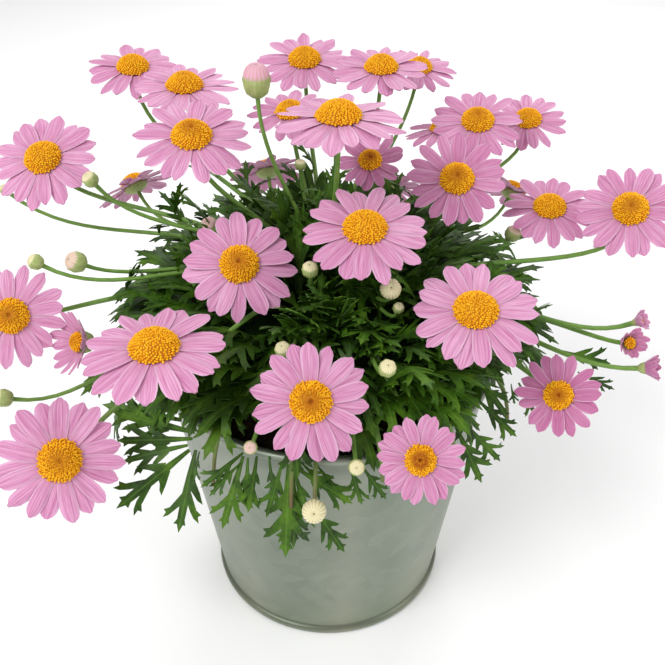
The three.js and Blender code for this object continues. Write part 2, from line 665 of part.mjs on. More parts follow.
// Bends a leaf aside or straighter until nothing is in its way, and leaves it out if that fails.
function cleared(leaf) {
  const bent = { ...leaf };
  for (let tries = 0; tries < LEAF_TRIES && blocked(bent); tries += 1) {
    bent.turn += (tries % 2 ? -1 : 1) * (tries + 1) * TURN_ASIDE;
    bent.bend -= tries > RAISE_AFTER ? RAISE_BEND : 0;
    bent.pitch += tries > RAISE_AFTER ? RAISE_PITCH : 0;
  }
  return blocked(bent) ? [] : [bent];
}

// Leaves spread evenly over the tangle, each a golden angle on from the last: upright on top,
// arching out and over at the side.
function tangleLeaves() {
  const draw = drawsFrom(LEAF_SEED);
  const spread = (width) => width * (draw() - 0.5);
  const leaves = [];
  for (let i = 0; i < LEAF_COUNT; i += 1) {
    const share = (i + 0.5) / LEAF_COUNT;
    const fromTop = Math.acos(1 - share * (1 - Math.cos(LEAF_LOWEST * DEGREE)));
    const turn = i * GOLDEN_ANGLE + spread(PLACE_SPREAD);
    const way = outward(turn, Math.sin(fromTop), Math.cos(fromTop));
    leaves.push(...cleared({
      root: way.multiplyScalar(LEAF_ROOT).multiply(tangleReach).add(tangleMiddle),
      turn: turn + spread(LEAF_TURN_SPREAD),
      length: LEAF_LENGTH + spread(LEAF_SPREAD),
      pitch: LEAF_PITCH.top - LEAF_PITCH.fall * share + spread(LEAF_PITCH.spread),
      bend: LEAF_BEND.top + LEAF_BEND.rise * share + spread(LEAF_BEND.spread),
    }));
  }
  return leaves;
}

function sprigCurve(sprig) {
  return new THREE.QuadraticBezierCurve3(
    outward(sprig.turn, ...SPRIG_START).add(new THREE.Vector3(0, TANGLE_MIDDLE[1] / 2, 0)),
    outward(sprig.turn, ...SPRIG_OVER),
    outward(sprig.turn, SPRIG_END[0], SPRIG_END[1] - sprig.drop));
}

function sprigLeaves(sprig, index) {
  const draw = drawsFrom(SPRIG_SEED + index * SPRIG_SEED_STEP);
  const spread = (width) => width * (draw() - 0.5);
  const curve = sprigCurve(sprig);
  return SPRIG_LEAVES.flatMap(({ share, away, pitch, bend }) => cleared({
    root: curve.getPoint(share),
    turn: sprig.turn + away + spread(PLACE_SPREAD),
    length: SPRIG_LEAF_LENGTH + spread(LEAF_SPREAD),
    pitch: pitch + spread(SPRIG_PITCH_SPREAD),
    bend,
  }));
}

function shootsGeometry() {
  const trunkBottom = SOIL_MIDDLE_HEIGHT - FOOT_HOLE_DEPTH + GAP;
  const trunkTop = TANGLE_BOTTOM + TRUNK_INSIDE;
  const trunkSize = [TRUNK_TOP_RADIUS, TRUNK_RADIUS, trunkTop - trunkBottom, TRUNK_SIDES];
  const trunk = new THREE.CylinderGeometry(...trunkSize)
    .rotateX(Math.PI / 2).translate(0, 0, (trunkTop + trunkBottom) / 2);
  const sprigs = SPRIGS.map((sprig) => tube(sprigCurve(sprig), SPRIG_RADIUS, SPRIG_SIDES, SPRIG_STEPS));
  const leaves = [...tangleLeaves(), ...SPRIGS.flatMap(sprigLeaves)].map(leafGeometry);
  return geometryOf(joined([
    trunk, tangleGeometry(), ...sprigs, ...leaves, ...BLOOMS.map(bloomStem), ...BUDS.flatMap(budStem)]));
}

// Assembly
const daisy = new THREE.Group();

function add(name, geometry, color, roughness, metalness = 0) {
  const mesh = new THREE.Mesh(geometry, new THREE.MeshStandardMaterial({ color, roughness, metalness }));
  mesh.name = name;
  daisy.add(mesh);
}

add('pot', potGeometry(), 0x8f9891, 0.45, 0.85);
add('soil', soilGeometry(), 0x2b2019, 0.95);
add('leafy_shoots', shootsGeometry(), 0x3c6a22, 0.5);
const partners = new Map(JOINED_RAYS.map(([kept, other]) => [kept, other]));
const absorbed = new Set(JOINED_RAYS.map(([, other]) => other));
for (const bloom of BLOOMS) {
  add(`disc_${bloom.id}`, discGeometry(bloom), 0xe8a21a, 0.8);
  if (absorbed.has(bloom.id)) continue;
  const partner = BLOOMS.find((other) => other.id === partners.get(bloom.id));
  const rays = partner
    ? geometryOf(joined([raysGeometry(bloom), raysGeometry(partner)]))
    : raysGeometry(bloom);
  add(`rays_${bloom.id}${partner ? `_${partner.id}` : ''}`, rays, 0xe59ccb, 0.55);
}

export default daisy;
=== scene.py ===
"""A pink marguerite daisy in a tapered zinc pot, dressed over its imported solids.

Sizes are millimetres and angles degrees, unless a line says otherwise. +Z is up, the origin lies
on the pot's axis at its foot, and the front of the pot is at -Y.
"""

import json
import logging
import math
from dataclasses import dataclass, field
from enum import Enum
from typing import Any, Callable, Iterable, Sequence

import bmesh
import bpy
import numpy as np
from mathutils import Matrix, Vector
from mathutils.geometry import delaunay_2d_cdt

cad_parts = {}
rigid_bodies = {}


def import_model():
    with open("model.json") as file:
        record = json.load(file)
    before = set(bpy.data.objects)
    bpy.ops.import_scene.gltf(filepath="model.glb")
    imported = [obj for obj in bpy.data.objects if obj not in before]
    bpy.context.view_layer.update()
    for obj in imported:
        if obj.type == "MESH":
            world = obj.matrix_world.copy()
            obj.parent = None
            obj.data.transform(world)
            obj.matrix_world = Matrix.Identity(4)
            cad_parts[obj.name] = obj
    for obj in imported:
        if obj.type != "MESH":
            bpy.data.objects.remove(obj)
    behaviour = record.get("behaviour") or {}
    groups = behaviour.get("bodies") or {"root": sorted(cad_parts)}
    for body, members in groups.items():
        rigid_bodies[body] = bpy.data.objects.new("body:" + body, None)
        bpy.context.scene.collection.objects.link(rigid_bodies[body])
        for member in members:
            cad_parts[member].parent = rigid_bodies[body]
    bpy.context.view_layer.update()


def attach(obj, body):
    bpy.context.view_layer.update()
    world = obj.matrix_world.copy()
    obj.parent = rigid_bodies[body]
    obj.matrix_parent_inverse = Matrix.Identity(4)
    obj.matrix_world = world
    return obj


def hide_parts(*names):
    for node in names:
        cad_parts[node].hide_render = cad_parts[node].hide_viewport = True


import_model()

LOG = logging.getLogger("daisy")
MM = 0.001
DEGREE = math.pi / 180
GOLDEN_ANGLE = 137.508
UP = np.array((0.0, 0.0, 1.0))
RIM_ANGLE = 62

Points = np.ndarray
Faces = list[tuple[int, ...]]
Line = Callable[[float], Points]


# Small helpers


class Draws:
    """Seeded draws between 0 and 1, the same on every run."""

    def __init__(self, seed: int) -> None:
        """Starts the row of draws."""
        self.state = seed

    def __call__(self) -> float:
        """The next draw."""
        self.state = (self.state * 1664525 + 1013904223) % 4294967296
        return self.state / 4294967296

    def spread(self, width: float) -> float:
        """A draw around 0, width from end to end."""
        return width * (self() - 0.5)


def unit(way: Points) -> Points:
    """The same direction, one long."""
    return way / np.linalg.norm(way)


def linear(code: str) -> tuple[float, float, float, float]:
    """Turns an sRGB hex colour into a linear one.

    Args:
        code: six hex digits.

    Returns:
        Red, green, blue and an alpha of 1.
    """
    parts = [int(code[i : i + 2], 16) / 255 for i in (0, 2, 4)]
    r, g, b = (c / 12.92 if c <= 0.04045 else ((c + 0.055) / 1.055) ** 2.4 for c in parts)
    return r, g, b, 1.0


def outward(turn: float, distance: float, height: float) -> Points:
    """A place round the pot's axis; turn 0 is the front and 90 the right."""
    return np.array((distance * math.sin(turn * DEGREE), -distance * math.cos(turn * DEGREE), height))


@dataclass(frozen=True)
class Facing:
    """The way something that leans faces, and two directions square to it."""

    normal: Points
    across: Points
    along: Points

    @classmethod
    def leaning(cls, lean: float, turn: float) -> "Facing":
        """Works the directions out.

        Args:
            lean: degrees from upright.
            turn: the way it leans, 0 to the front and 90 to the right.

        Returns:
            The three directions.
        """
        tilt, way = lean * DEGREE, turn * DEGREE
        normal = np.array(
            (math.sin(tilt) * math.sin(way), -math.sin(tilt) * math.cos(way), math.cos(tilt))
        )
        across = np.array((math.cos(way), math.sin(way), 0.0))
        return cls(normal, across, np.cross(normal, across))

    def placed(self, points: Points, at: Points) -> Points:
        """Moves points made round Z to a place, where Z is the way this faces."""
        ways = (self.across, self.along, self.normal)
        return sum((np.outer(points[:, k], way) for k, way in enumerate(ways)), at)

    def spoke(self, angle: float) -> Points:
        """The direction at an angle, in radians, round the way this faces."""
        return self.across * math.cos(angle) + self.along * math.sin(angle)

    def spun(self, angle: float) -> "Facing":
        """The same facing, with across turned by an angle."""
        way = self.spoke(angle)
        return Facing(self.normal, way, np.cross(self.normal, way))

    def matrix(self, at: Points) -> Matrix:
        """Places a piece made round its own Z, in mm, at a place of the frame, in metres."""
        turned = Matrix.Identity(4)
        for column, way in enumerate((self.across, self.along, self.normal)):
            for row in range(3):
                turned[row][column] = float(way[row])
        return Matrix.Translation(Vector([float(v) * MM for v in at])) @ turned


def wire(tree: Any, kind: str, sockets: dict[Any, Any] | None = None, **settings: Any) -> Any:
    """Adds a node to a tree, sets it and links it.

    Args:
        tree: a shader or geometry tree.
        kind: the node's type name.
        sockets: for each input, by name or number, a value or the output that feeds it.
        **settings: properties of the node.

    Returns:
        The node.
    """
    node = tree.nodes.new(kind)
    for name, value in settings.items():
        setattr(node, name, value)
    for key, value in (sockets or {}).items():
        value = value.socket if isinstance(value, Value) else value
        if isinstance(value, bpy.types.NodeSocket):
            tree.links.new(value, node.inputs[key])
        else:
            node.inputs[key].default_value = value
    return node


class Value:
    """A number inside a tree, so that sums on it are written as plain ones."""

    def __init__(self, tree: Any, socket: Any) -> None:
        """Takes the number that a socket gives out."""
        self.tree, self.socket = tree, socket

    def run(self, operation: str, *others: Any) -> "Value":
        """One sum on this number and others, in that order."""
        return sums(self.tree, operation, self, *others)

    def __add__(self, other: Any) -> "Value":
        """This number and another."""
        return self.run("ADD", other)

    def __sub__(self, other: Any) -> "Value":
        """This number less another."""
        return self.run("SUBTRACT", other)

    def __rsub__(self, other: Any) -> "Value":
        """Another number less this one."""
        return sums(self.tree, "SUBTRACT", other, self)

    def __mul__(self, other: Any) -> "Value":
        """This number times another."""
        return self.run("MULTIPLY", other)

    def __truediv__(self, other: Any) -> "Value":
        """This number by another."""
        return self.run("DIVIDE", other)

    def __pow__(self, other: Any) -> "Value":
        """This number to a power."""
        return self.run("POWER", other)

    def __abs__(self) -> "Value":
        """This number without its sign."""
        return self.run("ABSOLUTE")

    def clamped(self) -> "Value":
        """Holds the sum that gave this number between 0 and 1."""
        self.socket.node.use_clamp = True
        return self


def sums(tree: Any, operation: str, *values: Any) -> Value:
    """The result of one sum on plain numbers or numbers inside a tree."""
    node = wire(tree, "ShaderNodeMath", dict(enumerate(values)), operation=operation)
    return Value(tree, node.outputs[0])


def joined(tree: Any, *values: Any) -> Any:
    """Plain numbers or numbers inside a tree, as one vector."""
    return wire(tree, "ShaderNodeCombineXYZ", dict(enumerate(values))).outputs[0]


class Skin:
    """Gathers closed pieces of one object, with a drawing position and three draws at each point."""

    def __init__(self) -> None:
        """Starts empty."""
        self.points: list[Points] = []
        self.faces: Faces = []
        self.drawing: list[Points] = []
        self.marks: list[Points] = []
        self.count = 0

    def add(self, points: Points, faces: Iterable[Sequence[int]], drawing: Points, mark: Points) -> None:
        """Adds one closed piece.

        Args:
            points: places in mm.
            faces: numbers of the points of each face.
            drawing: two numbers a point, for patterns that follow the piece.
            mark: three numbers for the whole piece, or for each point.
        """
        self.points.append(points)
        self.faces.extend(tuple(i + self.count for i in face) for face in faces)
        self.drawing.append(drawing)
        self.marks.append(np.broadcast_to(mark, (len(points), 3)))
        self.count += len(points)

    def mesh(self, name: str) -> bpy.types.Mesh:
        """Makes the mesh, in metres, with its faces out and smooth.

        Args:
            name: the mesh's name.

        Returns:
            The mesh, with a UV map and the attribute mark.
        """
        mesh = bpy.data.meshes.new(name)
        mesh.from_pydata((np.concatenate(self.points) * MM).tolist(), [], self.faces)
        loops = np.empty(len(mesh.loops), dtype=np.int32)
        mesh.loops.foreach_get("vertex_index", loops)
        drawing = np.concatenate(self.drawing)[loops]
        mesh.uv_layers.new(name="UVMap").data.foreach_set("uv", drawing.astype(np.float32).ravel())
        marks = np.concatenate(self.marks).astype(np.float32)
        mesh.attributes.new("mark", "FLOAT_VECTOR", "POINT").data.foreach_set("vector", marks.ravel())
        work = bmesh.new()
        work.from_mesh(mesh)
        bmesh.ops.recalc_face_normals(work, faces=work.faces)
        work.to_mesh(mesh)
        work.free()
        mesh.shade_smooth()
        mesh.set_sharp_from_angle(angle=RIM_ANGLE * DEGREE)
        return mesh


def shown(mesh: bpy.types.Mesh, name: str, material: bpy.types.Material) -> bpy.types.Object:
    """Shows a mesh as an object at the origin, in its finish."""
    mesh.materials.clear()
    mesh.materials.append(material)
    piece = bpy.data.objects.new(name, mesh)
    bpy.context.scene.collection.objects.link(piece)
    return piece


def hand_over(mesh: bpy.types.Mesh, name: str, finish: Any, slot: str, *nodes: str) -> None:
    """Shows a finished mesh, lets it stand for the solids it replaces, and reports it.

    Args:
        mesh: the mesh.
        name: the piece's name.
        finish: its material.
        slot: not used.
        *nodes: the solids it replaces.
    """
    piece = shown(mesh, name, finish)
    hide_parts(*nodes)
    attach(piece, "root")
    LOG.info("%s: %d faces for %s", name, len(mesh.polygons), ", ".join(nodes))


def bowed(first: Points, over: Points, last: Points) -> Line:
    """A line from one place to another, drawn aside towards a third."""

    def at(t: float) -> Points:
        """The place at a share of the way."""
        s = 1 - t
        return s * s * first + 2 * s * t * over + t * t * last

    return at


def lathed(profile: Sequence[Sequence[float]], sides: int) -> tuple[Points, Faces, Points]:
    """Turns a profile round Z, closed at both ends on the axis.

    Args:
        profile: radius and height of each ring, the first and last on the axis.
        sides: how many sides a ring has.

    Returns:
        Points, faces, and for each point its turn and its share of the way along the profile.
    """
    points, drawing, rings = [], [], []
    for step, (radius, height) in enumerate(profile):
        share = step / (len(profile) - 1)
        ring = []
        for k in range(sides if radius > 0 else 1):
            angle = 2 * math.pi * k / sides
            ring.append(len(points))
            points.append((radius * math.cos(angle), radius * math.sin(angle), height))
            drawing.append((k / sides, share))
        rings.append(ring)
    faces: Faces = []
    for low, high in zip(rings, rings[1:]):
        for k in range(sides):
            n = (k + 1) % sides
            if len(low) == 1:
                faces.append((low[0], high[n], high[k]))
            elif len(high) == 1:
                faces.append((low[k], low[n], high[0]))
            else:
                faces.append((low[k], low[n], high[n], high[k]))
    return np.array(points), faces, np.array(drawing)


def turned_mesh(
    name: str, profile: Sequence[Sequence[float]], sides: int, mark: Sequence[float] = (0, 0, 0)
) -> bpy.types.Mesh:
    """A profile turned round Z, as a mesh of its own with one mark."""
    skin = Skin()
    skin.add(*lathed(profile, sides), np.array(mark, dtype=float))
    return skin.mesh(name)


def as_form(mesh: bpy.types.Mesh) -> bpy.types.Mesh:
    """Makes a mesh ready to be put in many places: in units of its own, without marks."""
    mesh.attributes.remove(mesh.attributes["mark"])
    mesh.transform(Matrix.Scale(1 / MM, 4))
    return mesh


# Geometry trees


@dataclass
class Growth:
    """A geometry tree with named inputs, and the plain meshes it grows."""

    name: str
    inputs: dict[str, tuple[str, Any]]
    tree: Any = field(init=False)
    given: Any = field(init=False)
    sockets: dict[str, str] = field(init=False, default_factory=dict)

    def __post_init__(self) -> None:
        """Makes the empty tree with its sockets."""
        self.tree = bpy.data.node_groups.new(self.name, "GeometryNodeTree")
        face = self.tree.interface
        face.new_socket(name="Geometry", in_out="OUTPUT", socket_type="NodeSocketGeometry")
        face.new_socket(name="Geometry", in_out="INPUT", socket_type="NodeSocketGeometry")
        for name, (kind, value) in self.inputs.items():
            socket = face.new_socket(name=name, in_out="INPUT", socket_type="NodeSocket" + kind)
            if value is not None:
                socket.default_value = value
            self.sockets[name] = socket.identifier
        self.given = self.tree.nodes.new("NodeGroupInput").outputs

    def value(self, name: str) -> Value:
        """A named input, as a number for sums."""
        return Value(self.tree, self.given[name])

    def draw(self, index: Any, low: float = 0.0, high: float = 1.0) -> Value:
        """A draw for each index, from the input Seed."""
        sockets = {2: low, 3: high, "Seed": self.given["Seed"], "ID": index}
        node = wire(self.tree, "FunctionNodeRandomValue", sockets, data_type="FLOAT")
        return Value(self.tree, node.outputs["Value"])

    def end(self, geometry: Any, with_start: bool = False) -> None:
        """Closes the tree: instances made real, the input Finish set.

        Args:
            geometry: the socket that carries what is grown.
            with_start: also keeps what the tree starts from.
        """
        if with_start:
            both = wire(self.tree, "GeometryNodeJoinGeometry")
            self.tree.links.new(self.given["Geometry"], both.inputs[0])
            self.tree.links.new(geometry, both.inputs[0])
            geometry = both.outputs[0]
        real = wire(self.tree, "GeometryNodeRealizeInstances", {"Geometry": geometry})
        dressed = wire(
            self.tree,
            "GeometryNodeSetMaterial",
            {"Geometry": real.outputs[0], "Material": self.given["Finish"]},
        )
        wire(self.tree, "NodeGroupOutput", {"Geometry": dressed.outputs[0]})

    def grow(self, data: Any, name: str, values: dict[str, Any]) -> bpy.types.Mesh:
        """Grows a plain mesh.

        Args:
            data: the mesh or curve that the tree starts from.
            name: what the mesh is called.
            values: a value for each named input that isn't at its default.

        Returns:
            A mesh of its own, free of the tree.
        """
        seed = bpy.data.objects.new(name + "_seed", data)
        bpy.context.scene.collection.objects.link(seed)
        modifier = seed.modifiers.new(self.name, "NODES")
        modifier.node_group = self.tree
        for key, value in values.items():
            modifier[self.sockets[key]] = value
        graph = bpy.context.evaluated_depsgraph_get()
        mesh = bpy.data.meshes.new_from_object(seed.evaluated_get(graph), depsgraph=graph)
        mesh.name = name
        seed.modifiers.clear()
        bpy.data.objects.remove(seed)
        return mesh


def stem_tree() -> Growth:
    """Ribbed stems along curves, thick as each curve's own radius."""
    growth = Growth(
        "ribbed_stems",
        {"Ribs": ("Int", 6), "Rib Depth": ("Float", 0.16), "Finish": ("Material", None)},
    )
    tree, given = growth.tree, growth.given
    inner = 1.0 - growth.value("Rib Depth")
    profile = wire(
        tree,
        "GeometryNodeCurveStar",
        {"Points": given["Ribs"], "Inner Radius": inner, "Outer Radius": 1.0},
    )
    tube = wire(
        tree,
        "GeometryNodeCurveToMesh",
        {"Curve": given["Geometry"], "Profile Curve": profile.outputs[0], "Fill Caps": True},
    )
    if "Scale" in tube.inputs:
        radius = wire(tree, "GeometryNodeInputRadius")
        tree.links.new(radius.outputs[0], tube.inputs["Scale"])
    smooth = wire(tree, "GeometryNodeSetShadeSmooth", {0: tube.outputs[0]})
    growth.end(smooth.outputs[0])
    return growth


def leaf_tree() -> Growth:
    """A leaf at each point, picked, turned and sized by the point's own attributes."""
    growth = Growth("leaves_on_shoots", {"Leaves": ("Collection", None), "Finish": ("Material", None)})
    tree, given = growth.tree, growth.given
    leaves = wire(
        tree,
        "GeometryNodeCollectionInfo",
        {"Collection": given["Leaves"], "Separate Children": True, "Reset Children": True},
    )
    form = wire(tree, "GeometryNodeInputNamedAttribute", {"Name": "form"}, data_type="INT")
    facing = wire(tree, "GeometryNodeInputNamedAttribute", {"Name": "facing"}, data_type="FLOAT_VECTOR")
    size = wire(tree, "GeometryNodeInputNamedAttribute", {"Name": "size"}, data_type="FLOAT")
    turned = wire(tree, "FunctionNodeEulerToRotation", {0: facing.outputs[0]})
    placed = wire(
        tree,
        "GeometryNodeInstanceOnPoints",
        {
            "Points": given["Geometry"],
            "Instance": leaves.outputs[0],
            "Pick Instance": True,
            "Instance Index": form.outputs[0],
            "Rotation": turned.outputs[0],
            "Scale": size.outputs[0],
        },
    )
    growth.end(placed.outputs[0])
    return growth


def floret_tree() -> Growth:
    """Florets in a golden-angle spiral over a dome, with a dimple of shut ones in the middle."""
    growth = Growth(
        "disc_florets",
        {
            "Count": ("Int", 200),
            "Radius": ("Float", 0.008),
            "Rise": ("Float", 0.005),
            "Dimple": ("Float", 0.5),
            "Floret": ("Object", None),
            "Floret Size": ("Float", 0.001),
            "Seed": ("Int", 1),
            "Finish": ("Material", None),
        },
    )
    tree, given = growth.tree, growth.given
    points = wire(tree, "GeometryNodePoints", {"Count": given["Count"]})
    index = Value(tree, wire(tree, "GeometryNodeInputIndex").outputs[0])
    share = ((index + 0.5) / growth.value("Count")).run("SQRT")
    angle = index * (GOLDEN_ANGLE * DEGREE)
    stray = growth.draw(index + 5000.0, low=-0.5, high=0.5)
    reach = growth.value("Radius") * (share + stray * 0.05)
    strayed = angle + stray * 0.1 / share
    # dome: rise x (1 - share^2.6), less a small hollow in the middle
    fall = 1.0 - share**2.6
    middle = (1.0 - share * 2.6).run("MAXIMUM", 0.0)
    hollow = middle * middle * growth.value("Dimple")
    height = growth.value("Rise") * (fall - hollow * 0.35)
    place = joined(tree, reach * strayed.run("COSINE"), reach * strayed.run("SINE"), height)
    spots = wire(tree, "GeometryNodeSetPosition", {"Geometry": points.outputs[0], "Position": place})
    draw = growth.draw(index)
    marked = wire(
        tree,
        "GeometryNodeStoreNamedAttribute",
        {
            "Geometry": spots.outputs[0],
            "Name": "mark",
            "Value": joined(tree, draw, share, given["Dimple"]),
        },
        data_type="FLOAT_VECTOR",
        domain="POINT",
    )
    swivel = joined(tree, (draw - 0.5) * 0.5, share**1.8 * 0.95, angle)
    turned = wire(tree, "FunctionNodeEulerToRotation", {0: swivel})
    floret = wire(tree, "GeometryNodeObjectInfo", {"Object": given["Floret"]})
    grown = share.run("MINIMUM", 0.8) * 0.3 + 0.74
    placed = wire(
        tree,
        "GeometryNodeInstanceOnPoints",
        {
            "Points": marked.outputs[0],
            "Instance": floret.outputs["Geometry"],
            "Rotation": turned.outputs[0],
            "Scale": growth.value("Floret Size") * (grown * (draw * 0.3 + 0.85)),
        },
    )
    growth.end(placed.outputs[0], with_start=True)
    return growth


def crumb_tree() -> Growth:
    """Crumbs of soil scattered over a surface."""
    growth = Growth(
        "soil_crumbs",
        {
            "Density": ("Float", 60000.0),
            "Crumb Size": ("Float", 0.0016),
            "Seed": ("Int", 3),
            "Finish": ("Material", None),
        },
    )
    tree, given = growth.tree, growth.given
    normal = wire(tree, "GeometryNodeInputNormal")
    facing = wire(tree, "ShaderNodeSeparateXYZ", {0: normal.outputs[0]})
    top = wire(tree, "FunctionNodeCompare", {0: facing.outputs[2], 1: 0.7}, operation="GREATER_THAN")
    spots = wire(
        tree,
        "GeometryNodeDistributePointsOnFaces",
        {
            "Mesh": given["Geometry"],
            "Selection": top.outputs[0],
            "Density": given["Density"],
            "Seed": given["Seed"],
        },
    )
    crumb = wire(tree, "GeometryNodeMeshIcoSphere", {"Radius": given["Crumb Size"], "Subdivisions": 1})
    turn = wire(
        tree, "FunctionNodeRandomValue", {1: (6.28, 6.28, 6.28), "Seed": 4}, data_type="FLOAT_VECTOR"
    )
    size = wire(
        tree,
        "FunctionNodeRandomValue",
        {0: (0.4, 0.4, 0.3), 1: (1.3, 1.0, 0.9), "Seed": 5},
        data_type="FLOAT_VECTOR",
    )
    placed = wire(
        tree,
        "GeometryNodeInstanceOnPoints",
        {
            "Points": spots.outputs["Points"],
            "Instance": crumb.outputs["Mesh"],
            "Rotation": turn.outputs[0],
            "Scale": size.outputs[0],
        },
    )
    growth.end(placed.outputs[0], with_start=True)
    return growth


# Finishes


class Coat:
    """A material on its way, with the patterns that the finishes share."""

    def __init__(self, name: str, **uniform: Any) -> None:
        """Starts the material, with uniform values on the shader's own sockets.

        Args:
            name: the material's name.
            **uniform: values by socket name, with _ for a space.
        """
        self.material = bpy.data.materials.new(name)
        self.material.use_nodes = True
        self.tree = self.material.node_tree
        self.shader = self.tree.nodes["Principled BSDF"]
        for key, value in uniform.items():
            self.shader.inputs[key.replace("_", " ")].default_value = value

    def parts(self, vector: Any) -> list[Value]:
        """The three numbers of a vector."""
        node = wire(self.tree, "ShaderNodeSeparateXYZ", {0: vector})
        return [Value(self.tree, socket) for socket in node.outputs]

    def place(self) -> Any:
        """Where a point lies on the object, in metres."""
        return wire(self.tree, "ShaderNodeTexCoord").outputs["Object"]

    def drawing(self) -> Any:
        """The drawing position that Skin gives each point."""
        return wire(self.tree, "ShaderNodeUVMap", uv_map="UVMap").outputs[0]

    def mark(self) -> list[Value]:
        """The three numbers that Skin marks each piece with."""
        node = wire(self.tree, "ShaderNodeAttribute", attribute_name="mark")
        return self.parts(node.outputs["Vector"])

    def noise(self, vector: Any, scale: float, detail: float = 2.0, roughness: float = 0.5) -> Value:
        """Cloudy noise; in metres a scale of 1000 has features of about a millimetre."""
        sockets = {"Vector": vector, "Scale": scale, "Detail": detail, "Roughness": roughness}
        return Value(self.tree, wire(self.tree, "ShaderNodeTexNoise", sockets).outputs[0])

    def ease(
        self, value: Any, start: float, end: float, most: float = 1.0, least: float = 0.0
    ) -> Value:
        """Goes from least to most as a number goes from start to end."""
        sockets = {0: value, 1: start, 2: end, 3: least, 4: most}
        return Value(self.tree, wire(self.tree, "ShaderNodeMapRange", sockets).outputs[0])

    def ramp(self, factor: Any, *stops: tuple[float, str]) -> Any:
        """A colour that runs through hex stops as the factor goes from 0 to 1."""
        node = wire(self.tree, "ShaderNodeValToRGB", {0: factor})
        stop_list = node.color_ramp.elements
        for i, (place, code) in enumerate(stops):
            stop = stop_list[i] if i < 2 else stop_list.new(place)
            stop.position, stop.color = place, linear(code)
        return node.outputs[0]

    def blend(self, share: Any, first: Any, second: Any, mode: str = "MIX") -> Any:
        """Mixes two colours, sockets or hex, by a share."""
        first, second = (linear(c) if isinstance(c, str) else c for c in (first, second))
        sockets = {0: share, 6: first, 7: second}
        settings = {"data_type": "RGBA", "blend_type": mode, "clamp_factor": True}
        node = wire(self.tree, "ShaderNodeMix", sockets, **settings)
        return node.outputs[2]

    def done(
        self, colour: Any, height: Any = None, strength: float = 0.0, depth_mm: float = 0.0
    ) -> bpy.types.Material:
        """Links the colour and, where there is one, the relief.

        Args:
            colour: the colour's socket.
            height: the relief's pattern.
            strength: how much of it shows.
            depth_mm: how deep it is.

        Returns:
            The material.
        """
        self.tree.links.new(colour, self.shader.inputs["Base Color"])
        if height is not None:
            sockets = {"Strength": strength, "Distance": depth_mm * MM, "Height": height}
            bump = wire(self.tree, "ShaderNodeBump", sockets)
            self.tree.links.new(bump.outputs[0], self.shader.inputs["Normal"])
        return self.material


@dataclass(frozen=True)
class PetalFinish:
    """Fresh ray petal: soft, thin and satin, streaked along, pale at the edge, deep at the root."""

    pale: str = "DCA4C5"
    body: str = "C37BA5"
    deep: str = "A65082"
    edge: str = "E8C2D8"
    width_mm: float = 6.5
    streak_mm: float = 0.5
    groove_side: float = 0.17

    def make(self) -> bpy.types.Material:
        """Builds the material; mark holds a draw, the bloom's depth of pink and how low it lies."""
        coat = Coat(
            "fresh_pink_petal",
            Roughness=0.52,
            IOR=1.42,
            Specular_IOR_Level=0.35,
            Subsurface_Weight=0.18,
            Subsurface_Scale=0.0015,
            Subsurface_Radius=(1.0, 0.45, 0.7),
            Sheen_Weight=0.12,
            Sheen_Roughness=0.5,
        )
        across, along, _ = coat.parts(coat.drawing())
        chance, pink, _ = coat.mark()
        side = abs(across - 0.5)
        # veins run the length of a petal, and differ from one petal to the next
        shifted = joined(
            coat.tree, across * (self.width_mm / self.streak_mm), along * 1.3, chance * 97.0
        )
        veins = coat.noise(shifted, 1.0, 2.0, 0.6)
        colour = coat.blend(((veins - 0.42) * 4.2).clamped(), self.pale, self.body)
        # depth of pink grows towards the root and in younger blooms
        depth = coat.ease(along, 0.55, 0.12) * 0.3 + pink * 0.6 + (chance - 0.5) * 0.2
        colour = coat.blend(depth, colour, self.deep)
        # whitish lines run out from the root
        lines = ((veins - 0.5) * 5.0).clamped() * coat.ease(along, 0.5, 0.15, 0.75)
        colour = coat.blend(lines, colour, self.edge)
        # the two long grooves are a little deeper
        groove = (1.0 - abs(side - self.groove_side) * 16.0).clamped()
        colour = coat.blend(groove * 0.35, colour, self.deep)
        colour = coat.blend(coat.ease(side, 0.4, 0.5, 0.55), colour, self.edge)
        return coat.done(colour, veins, 0.35, 0.25)


@dataclass(frozen=True)
class FloretFinish:
    """Packed golden florets: matt, yellow where open, deep orange where still shut and, as painted
    shade, between them.
    """

    open: str = "FABF1C"
    ripe: str = "F0A808"
    # painted shade: the colour of the dome, seen between the florets
    gap: str = "C07C06"
    shut: str = "A85206"

    def make(self) -> bpy.types.Material:
        """Builds the material; mark holds a draw, the share of the way out, and the dimple."""
        coat = Coat(
            "golden_florets",
            Roughness=0.62,
            IOR=1.45,
            Specular_IOR_Level=0.3,
            Subsurface_Weight=0.1,
            Subsurface_Scale=0.001,
        )
        chance, share, dimple = coat.mark()
        colour = coat.blend(chance, self.ripe, self.open)
        colour = coat.blend(coat.ease(share, 0.7, 0.1, 0.95) * dimple, colour, self.shut)
        # painted shade: the dome under the florets carries a first mark of 2 and shows as the dark
        # between them
        return coat.done(coat.blend(chance.run("GREATER_THAN", 1.5), colour, self.gap))


